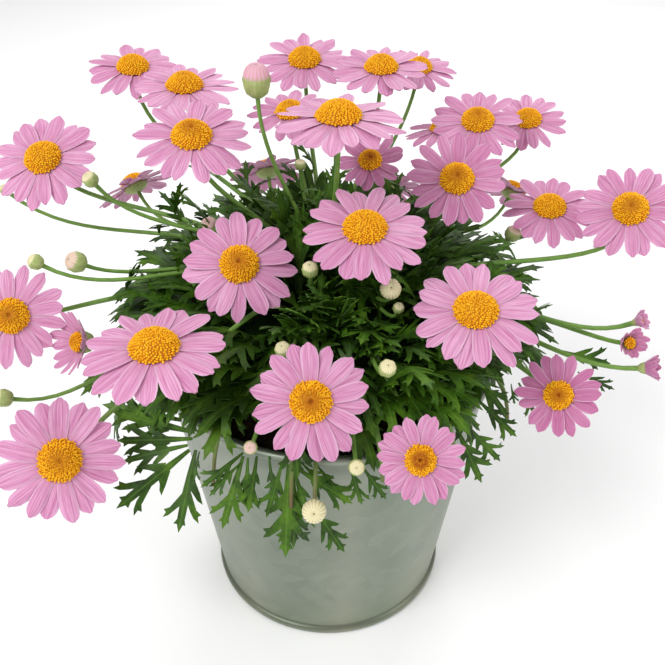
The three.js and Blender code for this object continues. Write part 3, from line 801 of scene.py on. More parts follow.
@dataclass(frozen=True)
class LeafFinish:
    """Fresh leaf: mid green in patches, waxy, with a paler rib."""

    dark: str = "172C05"
    body: str = "33560B"
    light: str = "557A1A"
    rib: str = "6A9134"
    roughness: float = 0.5
    gloss: float = 0.3
    groove: float = 0.014

    def make(self) -> bpy.types.Material:
        """Builds the material; the drawing holds the way across and along the leaf."""
        coat = Coat(
            "waxy_green_leaf",
            Roughness=self.roughness,
            IOR=1.45,
            Specular_IOR_Level=self.gloss,
            Subsurface_Weight=0.08,
            Subsurface_Scale=0.001,
            Subsurface_Radius=(0.4, 1.0, 0.2),
        )
        across, _, _ = coat.parts(coat.drawing())
        place = coat.place()
        # patches some 12 mm wide set leaves apart, and mottling of 2 mm breaks each one up
        mottle = coat.noise(place, 500.0)
        tone = coat.noise(place, 80.0, 1.0) * 0.7 + mottle * 0.3
        colour = coat.ramp(tone, (0.3, self.dark), (0.5, self.body), (0.72, self.light))
        colour = coat.blend(coat.ease(abs(across - 0.5), self.groove, 0.0, 0.35), colour, self.rib)
        return coat.done(colour, mottle, 0.3, 0.2)


@dataclass(frozen=True)
class StemFinish:
    """Green stem: light green and satin, browner and darker low down where it turns woody."""

    young: str = "7BA548"
    old: str = "5C7E33"
    woody: str = "6A5A3A"
    green_from: float = 0.165
    woody_to: float = 0.14

    def make(self) -> bpy.types.Material:
        """Builds the material."""
        coat = Coat("ribbed_green_stem", Roughness=0.5, IOR=1.45, Specular_IOR_Level=0.4)
        place = coat.place()
        streak = coat.noise(place, 220.0)
        colour = coat.blend(streak, self.old, self.young)
        low = coat.ease(coat.parts(place)[2], self.green_from, self.woody_to)
        return coat.done(coat.blend(low, colour, self.woody), streak, 0.2, 0.2)


@dataclass(frozen=True)
class BudFinish:
    """Bud: green scales below, folded cream or pink petal tips above with a small dark mouth."""

    scale: str = "86A052"
    scale_edge: str = "B9BE83"
    cream: str = "E9E2B8"
    pink: str = "DE9FC0"
    fold: str = "B79A63"
    mouth: str = "6B4A22"
    tips: int = 18
    mouth_from: float = 0.93

    def make(self) -> bpy.types.Material:
        """Builds the material; mark holds a draw, the share of pink and where the petals begin."""
        coat = Coat("scaly_bud", Roughness=0.55, IOR=1.45, Specular_IOR_Level=0.35)
        drawing = coat.drawing()
        turn, height, _ = coat.parts(drawing)
        _, pink, petals_from = coat.mark()
        fold = abs((turn * (self.tips * math.pi)).run("SINE"))
        tips = coat.blend(pink, self.cream, self.pink)
        tips = coat.blend((1.0 - fold).clamped() * 0.5, tips, self.fold)
        scales = coat.blend(coat.noise(drawing, 16.0), self.scale, self.scale_edge)
        colour = coat.blend(((height - petals_from) * 14.0).clamped(), scales, tips)
        colour = coat.blend(((height - self.mouth_from) * 30.0).clamped(), colour, self.mouth)
        return coat.done(colour, fold, 0.5, 0.3)


@dataclass(frozen=True)
class ZincFinish:
    """Galvanised zinc sheet: satin, grey with a touch of green, faint spangle and handling marks, with
    painted reflection stripes and a painted shade line over the foot bead.
    """

    sheet: str = "9FA59B"
    shade: str = "868E84"
    # an olive tinge that makes the sheet darker towards the bottom
    low_tinge: str = "8E8B6C"
    # painted shade: the colour of the dark line in the crease over the foot bead
    crease_shade: str = "4E5044"
    # painted reflection: the two tints and the scale of the stripes that stand in for mirrored
    # surroundings
    cool_reflection: str = "E6ECE4"
    warm_reflection: str = "FCFAF3"
    reflection_bands: float = 1.9
    spangle_mm: float = 9.0
    # the height in metres below which the olive tinge begins
    low_tinge_to: float = 0.045
    # painted shade: the height of that darkened crease, in metres
    shaded_crease: float = 0.0052

    def make(self) -> bpy.types.Material:
        """Builds the material."""
        coat = Coat("galvanised_zinc", Metallic=0.85)
        tree, place = coat.tree, coat.place()
        x, y, z = coat.parts(place)
        spangle = wire(
            tree,
            "ShaderNodeTexVoronoi",
            {"Vector": place, "Scale": 1000 / self.spangle_mm, "Randomness": 1.0},
        )
        flake = wire(tree, "ShaderNodeSeparateColor", {0: spangle.outputs["Color"]})
        cloud = coat.noise(place, 14.0, 4.0, 0.6)
        tone = cloud * 0.8 + Value(tree, flake.outputs[0]) * 0.14
        colour = coat.ramp(tone, (0.3, self.shade), (0.62, self.sheet))
        # an olive tinge low down, darker towards the bottom, and painted shade: a dark line in the
        # crease just over the foot bead
        colour = coat.blend(coat.ease(z, self.low_tinge_to, 0.0, 0.5) * cloud, colour, self.low_tinge)
        # painted shade: darkens a thin line in the crease over the foot bead
        shaded_crease = (1.0 - abs(z - self.shaded_crease) * 500.0).clamped()
        colour = coat.blend(shaded_crease * 0.6, colour, self.crease_shade)
        # painted reflection: soft lighter and darker stripes down the height, round the pot's turn,
        # stand in for the surroundings mirrored in the satin sheet
        turn = wire(tree, "ShaderNodeVectorMath", {0: joined(tree, x, y)}, operation="NORMALIZE")
        reflection_bands = coat.noise(turn.outputs[0], self.reflection_bands, 1.0)
        reflection_tint = coat.ramp(reflection_bands, (0.34, self.cool_reflection), (0.64, self.warm_reflection))
        colour = coat.blend(1.0, colour, reflection_tint, "MULTIPLY")
        rough = coat.ease(tone, 0.2, 0.8, 0.5, 0.36)
        tree.links.new(rough.socket, coat.shader.inputs["Roughness"])
        return coat.done(colour, coat.noise(place, 45.0, 5.0, 0.65), 0.12, 0.4)


@dataclass(frozen=True)
class SoilFinish:
    """Potting soil: dark peat with paler bits, crumbly and matt."""

    dark: str = "1D1611"
    light: str = "4A3A2B"

    def make(self) -> bpy.types.Material:
        """Builds the material."""
        coat = Coat("potting_soil", Roughness=0.95, Specular_IOR_Level=0.2)
        grit = coat.noise(coat.place(), 350.0, 4.0, 0.7)
        colour = coat.ramp(grit, (0.35, self.dark), (0.75, self.light))
        return coat.done(colour, grit, 0.8, 1.0)


# Tables


@dataclass(frozen=True)
class Bloom:
    """A flower head: where its rays meet, how it faces, and its age.

    hang is how far the rays fall (less than 0 is a cup), sag how much further the low side does,
    spin the turn of the first ray, bow how the stem is pulled aside, pink how deep its colour is
    and shut how much of the disc is still in bud.
    """

    id: str
    at: tuple[float, float, float]
    across: float
    lean: float
    turn: float
    rays: int
    hang: float
    sag: float
    spin: float
    pink: float = 0.35
    shut: float = 0.3
    bow: tuple[float, float, float] = (0.0, 0.0, 0.0)

    @property
    def facing(self) -> Facing:
        """The way it faces."""
        return Facing.leaning(self.lean, self.turn)

    @property
    def middle(self) -> Points:
        """Where the rays meet."""
        return np.array(self.at, dtype=float)

    @property
    def number(self) -> int:
        """The whole number its name starts with."""
        return int("".join(c for c in self.id if c.isdigit()))


BLOOMS = (
    Bloom("01", (-98, 74, 270), 46, 16, 14, 15, 4, 8, 4, 0.3, 0.2),
    Bloom("02", (-67, 42, 271), 50, 9, 12, 17, 1, 4, 9, 0.1, 0.3),
    Bloom("03", (-57, -8, 266), 50, 22, 8, 17, 3, 8, 2, 0.2, 0.8),
    Bloom("04", (-131, 16, 246), 50, 33, -6, 18, 3, 8, 6, 0.15, 0.1),
    Bloom("05", (-12, 90, 269), 49, 18, 0, 17, 1, 5, 11, 0.3, 0.3),
    Bloom("06", (26, 57, 275), 47, 11, -4, 17, 0, 5, 0, 0.4, 0.3),
    Bloom("06b", (49, 100, 262), 40, 16, 20, 15, 2, 6, 7, 0.4, 0.3),
    Bloom("07", (5, -18, 278), 55, 3, -2, 18, 3, 5, 5, 0.2, 0.1, (0, 6, 0)),
    Bloom("07b", (-18, 46, 257), 42, 14, -14, 15, 2, 8, 0, 0.5, 0.4),
    # painted shade: head 08's pink and shut are set higher partly for its own deeper colour and partly
    # for the shade on it
    Bloom("08", (20, 18, 244), 32, 34, -3, 15, -14, 4, 3, 0.75, 1.2),
    Bloom("09", (58.7, 56.8, 244.5), 40, 8, -100, 15, 4, 8, 0, 0.6, 0.4),
    Bloom("10", (74, 50, 251), 46, 25, -12, 17, 2, 10, 8, 0.4, 0.7),
    Bloom("11", (108, 87, 238), 42, 24, -15, 15, 2, 8, 2, 0.35, 0.3),
    Bloom("12", (60, 11, 238), 46, 42, -8, 17, -6, 4, 10, 0.6, 0.9),
    Bloom("13", (109, 24, 217), 46, 20, -14, 17, 3, 8, 6, 0.45, 0.1),
    Bloom("14", (139, 0, 228), 47, 41, -20, 18, 4, 8, 0, 0.35, 0.8, (4, -16, -8)),
    Bloom("15", (16, -36, 237), 54, 19, -3, 19, 4, 10, 4, 0.25, 0.1),
    Bloom("16", (-38, -31, 217), 50, 42, 6, 18, 4, 10, 9, 0.25, 0.9),
    Bloom("17", (61, -60, 212), 54, 22, -10, 18, 4, 8, 3, 0.15, 0.15),
    Bloom("18", (-65, -88, 214), 56, 6, 10, 18, 4, 12, 0, 0.1, 0.1),
    Bloom("19", (-142, -34, 192), 47, 50, 10, 17, 4, 6, 5, 0.2, 0.8),
    Bloom("20", (-6, -91, 190), 49, 50, 2, 18, 3, 6, 10, 0.3, 1.0),
    Bloom("21", (-110, -93, 160), 52, 48, 22, 19, 3, 6, 2, 0.05, 0.6),
    Bloom("22", (101, -63, 170), 37, 52, -16, 16, -12, 4, 7, 0.9, 1.1),
    Bloom("23", (37, -105, 172), 36, 48, -9, 20, -2, 6, 4, 0.4, 1.9),
    Bloom("24", (-112, 96, 196), 48, 42, -138, 16, 4, 10, 3, 0.3, 0.4),
    Bloom("25", (-38, 134, 188), 50, 46, -168, 17, 4, 10, 8, 0.3, 0.3),
    Bloom("26", (38, 136, 176), 48, 52, 166, 17, 2, 8, 1, 0.4, 0.6),
    Bloom("27", (110, 108, 186), 46, 44, 138, 16, 4, 10, 5, 0.3, 0.2),
)
CROSSED = ("09", "10")


class BudKind(Enum):
    """How far a bud has come."""

    ROUND = "round"
    TALL = "tall"
    OPEN = "open"


@dataclass(frozen=True)
class Bud:
    """A bud: its middle, width, lean and turn, kind, share of pink, and where petal tips begin."""

    at: tuple[float, float, float]
    across: float
    lean: float
    turn: float
    kind: BudKind = BudKind.ROUND
    pink: float = 0.0
    petals_from: float = 0.5
    neck: float = 0.4
    nod: float = 0.0

    @property
    def facing(self) -> Facing:
        """The way it faces."""
        return Facing.leaning(self.lean, self.turn)

    @property
    def middle(self) -> Points:
        """Its middle."""
        return np.array(self.at, dtype=float)


BUDS = (
    Bud((-30, 10, 283), 12, 4, 0, BudKind.TALL, 0.9, 0.42),
    Bud((-106, 0, 243), 7, 30, -60),
    Bud((-113, -20, 212), 9.5, 50, -50, pink=0.4),
    Bud((-129, -25, 215), 7, 50, -80),
    Bud((-143, -60, 166), 8, 64, -70),
    Bud((-58, 20, 209), 9, 30, -30, pink=0.6),
    Bud((-7, -40, 220), 7, 16, 0),
    Bud((27, -46, 214), 9, 24, 0, petals_from=0.35, nod=26),
    Bud((-18, -66, 197), 7, 24, -20),
    Bud((24, -85, 202), 7, 30, 10),
    Bud((-30, -100, 174), 5.5, 50, 0, pink=0.5, neck=0.2),
    Bud((12, -106, 169), 6.5, 50, 0, neck=0.2),
    Bud((-5, -108, 146), 10, 56, 0, petals_from=0.3, neck=0.1),
    Bud((92, 20, 205), 8, 20, 60, pink=0.3),
    Bud((4, 42, 242), 6, 6, 0),
    Bud((-13, 30, 237), 5.5, 6, 0),
    Bud((31, -44, 203), 5, 20, 20),
    Bud((134, -45, 185), 12, 56, 10, BudKind.OPEN, 0.7),
    Bud((143, -50, 175), 11, 72, 70, BudKind.OPEN, 0.8),
    Bud((139, -38, 192), 8, 50, 60, BudKind.OPEN, 0.1),
    Bud((-112, -40, 182), 21, 62, -50, BudKind.OPEN, 0.3),
    Bud((-159, 30, 224), 5, 40, -80),
)


# Flower heads


@dataclass
class FlowerHeads:
    """Ray petals and discs of every open flower."""

    blooms: tuple[Bloom, ...] = BLOOMS
    disc_share: float = 0.345
    disc_rise: float = 0.34
    plate: float = 0.4
    gap: float = 0.3
    ray_root: float = 1.6
    ray_width: float = 7.4
    ray_room: float = 2.3
    ray_layer: float = 5.0
    ray_levels: tuple[float, float] = (0.28, -0.18)
    grain: float = 0.86
    packing: float = 1.18
    thickness: float = 0.56
    groove_at: float = 0.34
    groove_depth: float = 0.22
    columns: tuple[float, ...] = (-1, -0.66, -0.34, 0, 0.34, 0.66, 1)
    rows: tuple[float, ...] = (0, 0.2, 0.45, 0.7, 0.87, 0.96, 1)
    widths: tuple[float, ...] = (0.36, 0.72, 0.93, 1.0, 0.88, 0.64, 0.38)
    under: tuple[float, ...] = (-0.5, 0, 0.5)

    def petal(
        self, length: float, width: float, fall: Callable[[float], float], draw: Draws
    ) -> tuple[Points, Faces, Points]:
        """One petal, flat along X, with a top of grooves and a plain underside.

        Args:
            length: from root to tip.
            width: at the widest.
            fall: height at a share of the length.
            draw: seeded draws.

        Returns:
            Points, faces and the drawing position of each point.
        """
        arch = 0.16 + draw.spread(0.5)
        twist = draw.spread(0.9)
        bow = draw.spread(3.2)
        notch = -0.025 * draw()
        blunt = 0.02 + 0.05 * draw()
        lift = draw.spread(0.9)
        points: list[tuple[float, float, float]] = []
        drawing: list[tuple[float, float]] = []

        def place(side: float, row: float, down: float) -> None:
            """Adds a point of the petal."""
            ends = row**5
            grooved = abs(abs(side) - self.groove_at) < 0.05
            along = row - ends * (blunt * abs(side) ** 2.6 + notch * grooved)
            half = float(np.interp(row, self.rows, self.widths)) * width / 2
            groove = self.groove_depth * grooved * min(1.0, row * 3) * (1 - 0.5 * ends)
            cross = -arch * half * side * side * (0.3 + 0.7 * row) + twist * row * side * half * 0.5
            rise = fall(along) + lift * row * row + cross - groove - down * (1 - side * side)
            points.append((along * length, side * half + bow * row * row, rise))
            drawing.append((0.5 + side / 2, row))

        for sides, down in ((self.columns, 0.0), (self.under, self.thickness)):
            for row in self.rows:
                for side in sides:
                    place(side, row, down)
        wide, low = len(self.columns), len(self.under)
        tops = [range(j * wide, (j + 1) * wide) for j in range(len(self.rows))]
        first = wide * len(self.rows)
        bottoms = [
            [top[0], *range(first + j * low, first + (j + 1) * low), top[-1]]
            for j, top in enumerate(tops)
        ]
        faces: Faces = []
        for j in range(len(self.rows) - 1):
            for near, far, step in ((tops[j], tops[j + 1], 1), (bottoms[j], bottoms[j + 1], -1)):
                quads = zip(near, far, far[1:], near[1:])
                faces += [quad[::step] for quad in quads]
        faces += [(*tops[j], *bottoms[j][-2:0:-1]) for j in (0, -1)]
        return np.array(points), faces, np.array(drawing)

    def rays(self, skin: Skin, bloom: Bloom) -> None:
        """Adds the petals of one head.

        Args:
            skin: what they are added to.
            bloom: the head.
        """
        facing, radius = bloom.facing, bloom.across / 2
        root = radius * self.disc_share + self.ray_root
        step = 2 * math.pi / bloom.rays
        widest = min(
            self.ray_width * bloom.across / 50, self.ray_room * radius * math.sin(step / 2)
        )
        draw = Draws(100 + bloom.rays + bloom.number * 7)
        loose = Draws(500 + bloom.number * 31 + bloom.rays)
        start = radius * self.disc_share * 0.55
        for i in range(bloom.rays):
            angle = bloom.spin * DEGREE + i * step
            low = (1 - facing.spoke(angle)[2]) / 2
            sag = bloom.sag * low * low
            tip = radius * (0.92 + 0.11 * draw())
            hang = (bloom.hang + sag + (i % 2) * self.ray_layer) * DEGREE
            drop = math.tan(hang)
            curl = 0.03 * (sag + 4)

            def fall(share: float) -> float:
                """Height of the petal's middle line at a share of its length."""
                reach = start + share * (tip - start)
                out = max(reach - root, 0.0) / (tip - root)
                return -drop * (tip - root) * (0.72 * out + 0.28 * out * out) - curl * out**3

            swing = loose.spread(0.35) * step
            width = widest * (0.84 + 0.3 * loose())
            flat, faces, drawing = self.petal(tip - start, width, fall, loose)
            flat += (start, 0, self.ray_levels[i % 2])
            points = facing.spun(angle + swing).placed(flat, bloom.middle)
            skin.add(points, faces, drawing, np.array((loose(), bloom.pink, low)))

    def floret(self) -> bpy.types.Object:
        """One floret, about a millimetre wide, with a star-shaped mouth."""
        profile = ((0, -0.8), (0.42, -0.5), (0.5, 0.3), (0.3, 0.5), (0, 0.32))
        return bpy.data.objects.new("floret", as_form(turned_mesh("floret", profile, 5)))

    def disc(
        self, bloom: Bloom, growth: Growth, floret: bpy.types.Object, finish: Any, node: str
    ) -> None:
        """Grows the disc of one head from its dome and hands it over.

        Args:
            bloom: the head.
            growth: the tree that grows florets.
            floret: the floret.
            finish: the disc's material.
            node: the solid it replaces.
        """
        name, facing = "florets_" + bloom.id, bloom.facing
        radius = bloom.across / 2 * self.disc_share
        rise = radius * 2 * self.disc_rise
        rings = [(0, 0.0), (radius * 0.96, 0.0)]
        for share in (0.96, 0.8, 0.6, 0.4, 0.2):
            rings.append((radius * share, rise * max(0.12, (1 - share**2.6)) - 0.35))
        rings.append((0, rise * (1 - 0.35 * bloom.shut) - 0.5))
        values = {
            "Count": int(math.pi * radius * radius / (self.grain * self.grain) * self.packing),
            "Radius": radius * MM,
            "Rise": (rise - 0.25) * MM,
            "Dimple": bloom.shut,
            "Floret": floret,
            "Floret Size": self.grain * MM * 1.12,
            "Seed": bloom.number,
            "Finish": finish,
        }
        mesh = growth.grow(turned_mesh("dome", rings, 24, (2.0, 0.5, 0.0)), name, values)
        mesh.transform(facing.matrix(bloom.middle + facing.normal * (self.plate + self.gap)))
        hand_over(mesh, name, finish, "disc_florets", node)

    def build(self) -> None:
        """Builds every head and hands it over."""
        petal_finish, floret_finish = PetalFinish().make(), FloretFinish().make()
        growth, floret = floret_tree(), self.floret()
        groups = [[b] for b in self.blooms if b.id not in CROSSED]
        groups.append([b for b in self.blooms if b.id in CROSSED])
        for group in groups:
            skin = Skin()
            for bloom in group:
                self.rays(skin, bloom)
            name = "_".join(b.id for b in group)
            mesh = skin.mesh("petals_" + name)
            hand_over(mesh, mesh.name, petal_finish, "ray_petals", "rays_" + name)
            for bloom in group:
                self.disc(bloom, growth, floret, floret_finish, "disc_" + bloom.id)


# Pot and soil


@dataclass
class Pot:
    """Tapered zinc pot with a rolled rim and a foot bead."""

    height: float = 152
    rim_radius: float = 85
    foot_radius: float = 64.6
    wall: float = 1.4
    floor: float = 3
    bead: float = 6
    bead_proud: float = 1.8
    roll: float = 4.6
    roll_proud: float = 2.4
    sides: int = 160

    def radius(self, z: float) -> float:
        """Outer radius of the wall at a height."""
        top = self.rim_radius - self.roll_proud
        run = self.height - self.roll - self.bead
        return self.foot_radius + (top - self.foot_radius) * (z - self.bead) / run

    def build(self) -> None:
        """Turns the pot and hands it over."""
        foot, half = self.foot_radius, self.roll / 2
        profile = [(0, 0), (foot - 1.4, 0), (foot + 0.2, 0.3)]
        for i in range(7):
            turn = math.pi * (-0.5 + i / 6)
            radius = foot + 0.2 + (self.bead_proud - 0.2) * math.cos(turn)
            profile.append((radius, self.bead / 2 + 2.4 * math.sin(turn)))
        profile.append((foot - 0.05, self.bead + 0.1))
        for i in range(1, 9):
            z = self.bead + 0.6 + (self.height - self.roll - self.bead - 1) * i / 8
            profile.append((self.radius(z), z))
        for i in range(15):
            turn = math.pi * (-0.42 + 1.5 * i / 14)
            radius = self.rim_radius - half + half * math.cos(turn)
            profile.append((radius, self.height - half + half * math.sin(turn)))
        profile += [
            (self.rim_radius - self.roll_proud - self.wall, self.height - self.roll),
            (foot - self.wall, self.bead),
            (foot - self.wall - 0.8, self.floor),
            (0, self.floor),
        ]
        mesh = turned_mesh("zinc_pot", profile, self.sides)
        hand_over(mesh, "zinc_pot", ZincFinish().make(), "pot_zinc", "pot")


@dataclass
class Soil:
    """Potting soil a little under the rim, lumpy, with loose crumbs."""

    pot: Pot
    edge_height: float = 132
    middle_height: float = 136
    hole_radius: float = 8.2
    hole_depth: float = 20
    gap: float = 0.3
    lump: float = 2.4
    rings: tuple[float, ...] = (0.98, 0.9, 0.8, 0.7, 0.6, 0.5, 0.4, 0.3, 0.2, 0.13)
    sides: int = 72

    def build(self) -> None:
        """Builds the soil and hands it over."""
        draw = Draws(5)
        bottom = self.pot.floor + self.gap

        def inside(z: float) -> float:
            """Radius a little inside the wall."""
            return self.pot.radius(z) - self.pot.wall - self.gap

        reach = inside(self.edge_height)
        profile = [(0, bottom), (inside(bottom) - 1, bottom), (reach, self.edge_height - 2)]
        for share in self.rings:
            rise = (self.middle_height - self.edge_height) * (1 - share**3)
            profile.append((reach * share, self.edge_height + rise))
        hole = self.middle_height - self.hole_depth
        profile += [(self.hole_radius, self.middle_height - 1), (self.hole_radius, hole), (0, hole)]
        points, faces, drawing = lathed(profile, self.sides)
        reaches = np.hypot(points[:, 0], points[:, 1])
        for i, point in enumerate(points):
            if point[2] > self.edge_height - 0.5 and reaches[i] > self.hole_radius + 0.5:
                point[2] += draw.spread(self.lump)
        skin = Skin()
        skin.add(points, faces, drawing, np.zeros(3))
        finish = SoilFinish().make()
        mesh = crumb_tree().grow(skin.mesh("soil_bed"), "potting_soil", {"Finish": finish})
        hand_over(mesh, "potting_soil", finish, "soil", "soil")


# Shoots, leaves and buds

FOLIAGE = ("foliage", "leafy_shoots")

# A bud from its stem to its mouth: radius and height, both in radii of the bud.
BUD_PROFILE = (
    (0, 0.0),
    (0.5, 0.03),
    (0.82, 0.28),
    (0.98, 0.7),
    (1.0, 1.05),
    (0.93, 1.4),
    (0.76, 1.68),
    (0.5, 1.86),
    (0.28, 1.92),
    (0.12, 1.88),
    (0, 1.8),
)


@dataclass
class Plant:
    """Woody foot, branches, stems, cups, buds and leaves."""

    pot: Pot
    middle: tuple[float, float, float] = (0, 2, 164)
    reach: tuple[float, float, float] = (71, 71, 33)
    stem_radius: float = 1.1
    branches: int = 16
    young_rays: int = 15
    trunk: tuple[float, float] = (116.6, 148.0)
    cup_height: float = 4.0
    cup_seat: float = 0.7

    def on_tangle(self, towards: Points, share: float) -> Points:
        """Where a line from the middle of the bush leaves it, or a share of the way."""
        middle, reach = np.array(self.middle, dtype=float), np.array(self.reach, dtype=float)
        return unit((towards - middle) / reach) * share * reach + middle

    def stem_line(
        self, top: Points, normal: Points, neck: float = 0.4, bow: Sequence[float] = (0, 0, 0)
    ) -> Line:
        """The line of a stem from inside the bush to what it carries.

        Args:
            top: where it ends.
            normal: the way it ends.
            neck: the share of its span that follows that way.
            bow: how it is pulled aside.

        Returns:
            The place at a share of the line.
        """
        foot = np.array((top[0] * 0.62, top[1] * 0.62 + 9, max(top[2], 176)))
        start = self.on_tangle(foot, 0.78)
        span = float(np.linalg.norm(top - start))
        rising = unit(unit(start - np.array(self.middle, dtype=float)) + UP)
        second = start + rising * span * 0.35 + np.array(bow, dtype=float)
        third = top - normal * span * neck + np.array(bow, dtype=float)

        def at(t: float) -> Points:
            """The place at a share of the way."""
            s = 1 - t
            return s**3 * start + 3 * s * s * t * second + 3 * s * t * t * third + t**3 * top

        return at

    def carried(self) -> list[tuple[Line, float]]:
        """The stem's line and its radius, for every head and bud."""
        out = []
        for bloom in BLOOMS:
            normal = bloom.facing.normal
            top = bloom.middle - normal * (self.cup_seat + self.cup_height)
            out.append((self.stem_line(top, normal, bow=bloom.bow), self.stem_radius))
        for bud in BUDS:
            normal = bud.facing.normal
            top = bud.middle - normal * (bud.across * (0.36 if bud.kind is BudKind.OPEN else 0.5))
            thick = self.stem_radius * (1.0 if bud.kind is BudKind.OPEN else 0.85)
            out.append((self.stem_line(top, normal, bud.neck), thick))
        return out

    def sprig_line(self, sprig: Sequence[float]) -> Line:
        """The line of a hanging sprig, given its turn and drop."""
        turn, drop = sprig
        first = outward(turn, 60, 163) + np.array((0, 1, 0))
        return bowed(first, outward(turn, 92, 180), outward(turn, 97, 143 - drop))

    def branch_lines(self) -> list[Line]:
        """Woody branches from the foot out to the shoots."""
        lines = []
        draw = Draws(71)
        foot = np.array((0.0, 0.0, 133.0))
        for i in range(self.branches):
            turn = i * GOLDEN_ANGLE
            far = outward(turn, 38 + draw.spread(30), 172 + draw.spread(24)) + np.array((0, 2, 0))
            lines.append(bowed(foot, outward(turn, 16, 150 + draw.spread(8)), far))
        return lines

    def build_shoots(self, finish: Any) -> None:
        """Grows stems, sprigs and branches from their lines."""
        curve = bpy.data.curves.new("stem_lines", "CURVE")
        curve.dimensions = "3D"

        def add(line: Line, steps: int, thick: Callable[[float], float]) -> None:
            """Adds one line with its thickness along the way."""
            spline = curve.splines.new("POLY")
            spline.points.add(steps)
            for i in range(steps + 1):
                t = i / steps
                spline.points[i].co = (*[float(v) * MM for v in line(t)], 1.0)
                spline.points[i].radius = thick(t) * MM

        for line, radius in self.carried():
            add(line, 18, lambda t, r=radius: r * (1.25 - 0.35 * t + 0.25 * max(t - 0.93, 0) / 0.07))
        for sprig in SPRIGS:
            add(self.sprig_line(sprig), 12, lambda t: 1.7 - 0.9 * t)
        for line in self.branch_lines():
            add(line, 10, lambda t: 3.2 - 1.9 * t)
        low, high = self.trunk

        def trunk(t: float) -> Points:
            """The woody foot's middle line, a little crooked."""
            return np.array((0.6 * math.sin(5 * t), 0.5 * math.cos(4 * t), low + (high - low) * t))

        add(trunk, 8, lambda t: 7.2 - 1.6 * t)
        mesh = stem_tree().grow(curve, "stems_and_shoots", {"Finish": finish})
        hand_over(mesh, "stems_and_shoots", finish, *FOLIAGE)

    def build_cups(self, finish: Any) -> None:
        """Scaly green cups that hold the rays."""
        skin = Skin()
        for bloom in BLOOMS:
            wide = bloom.across / 2 * FlowerHeads.disc_share
            rings = [(0, -0.3), (1.35, -0.2), (wide * 0.42, 0.35), (wide * 0.66, 1.3), (wide * 0.8, 2.5)]
            rings += [(wide * 0.84, 3.6), (wide * 0.78, 4.3), (0, 4.3)]
            points, faces, drawing = lathed(rings, 26)
            angle = np.arctan2(points[:, 1], points[:, 0])
            scales = 1 + 0.05 * np.abs(np.cos(angle * 6.5)) * (drawing[:, 1] > 0.2)
            points[:, :2] *= scales[:, None]
            facing = bloom.facing
            base = bloom.middle - facing.normal * (self.cup_seat + self.cup_height)
            skin.add(facing.placed(points, base), faces, drawing, np.array((0.5, 0.0, 2.0)))
        hand_over(skin.mesh("flower_cups"), "flower_cups", finish, *FOLIAGE)

    def build_buds(self, finish: Any) -> None:
        """Round and tall buds, and half-open flowers."""
        skin, rays = Skin(), Skin()
        heads = FlowerHeads()
        growth, floret, gold = floret_tree(), heads.floret(), FloretFinish().make()
        for number, bud in enumerate(BUDS):
            facing, radius = Facing.leaning(bud.lean + bud.nod, bud.turn), bud.across / 2
            draw = Draws(300 + number * 17)
            if bud.kind is BudKind.OPEN:
                self.half_open(rays, skin, bud, draw)
                id, across = "half_open_%d" % number, bud.across * 1.25
                young = Bloom(id, bud.at, across, bud.lean, bud.turn, 13, 0, 0, 0, bud.pink, 0.6)
                heads.disc(young, growth, floret, gold, "leafy_shoots")
                continue
            tall = 1.25 if bud.kind is BudKind.TALL else 1.0
            profile = [(r * radius, (h * tall - 1) * radius) for r, h in BUD_PROFILE]
            points, faces, drawing = lathed(profile, 36)
            angle = np.arctan2(points[:, 1], points[:, 0])
            upper = np.clip((drawing[:, 1] - bud.petals_from) * 6, 0, 1)
            ribs = 1 - 0.05 * (1 - np.abs(np.sin(9 * angle))) * upper
            bumps = 1 + 0.05 * np.cos(6 * angle + 3 * np.floor(drawing[:, 1] * 6)) * (1 - upper)
            points[:, :2] *= (ribs * bumps)[:, None]
            placed = facing.placed(points, bud.middle)
            skin.add(placed, faces, drawing, np.array((draw(), bud.pink, bud.petals_from)))
        hand_over(skin.mesh("buds"), "buds", finish, *FOLIAGE)
        petals = rays.mesh("half_open_petals")
        hand_over(petals, petals.name, PetalFinish().make(), "ray_petals", "leafy_shoots")

    def half_open(self, rays: Skin, cups: Skin, bud: Bud, draw: Draws) -> None:
        """A half-open flower: a green cup with its young rays standing up round the disc.

        Args:
            rays: takes the petals.
            cups: takes the cup.
            bud: the flower.
            draw: seeded draws.
        """
        heads = FlowerHeads()
        facing, radius = bud.facing, bud.across / 2
        height = bud.across * 0.8
        base = bud.middle - facing.normal * height * 0.45
        wide = radius * 0.5
        profile = [(0, -0.3), (1.2, -0.2), (wide * 0.8, 0.12 * height), (wide, 0.3 * height)]
        profile += [(wide * 0.9, 0.4 * height), (0, 0.4 * height)]
        points, faces, drawing = lathed(profile, 22)
        cups.add(facing.placed(points, base), faces, drawing, np.array((draw(), bud.pink, 2.0)))
        steep = 1.15 if bud.across < 20 else 0.75
        for i in range(self.young_rays):
            angle = 2 * math.pi * (i + draw.spread(0.4)) / self.young_rays
            length = height * 0.72 * (0.9 + 0.2 * draw())
            width = 0.36 * radius + 1.2
            flat, petal_faces, drawing = heads.petal(length, width, lambda share: 0.0, draw)
            lean = steep - 0.25 * draw()
            reach = wide * 0.8 + flat[:, 0] * math.cos(lean) - flat[:, 2] * math.sin(lean)
            rise = 0.36 * height + flat[:, 0] * math.sin(lean) + flat[:, 2] * math.cos(lean)
            points = facing.spun(angle).placed(np.column_stack((reach, flat[:, 1], rise)), base)
            rays.add(points, petal_faces, drawing, np.array((draw(), bud.pink, 0.5)))

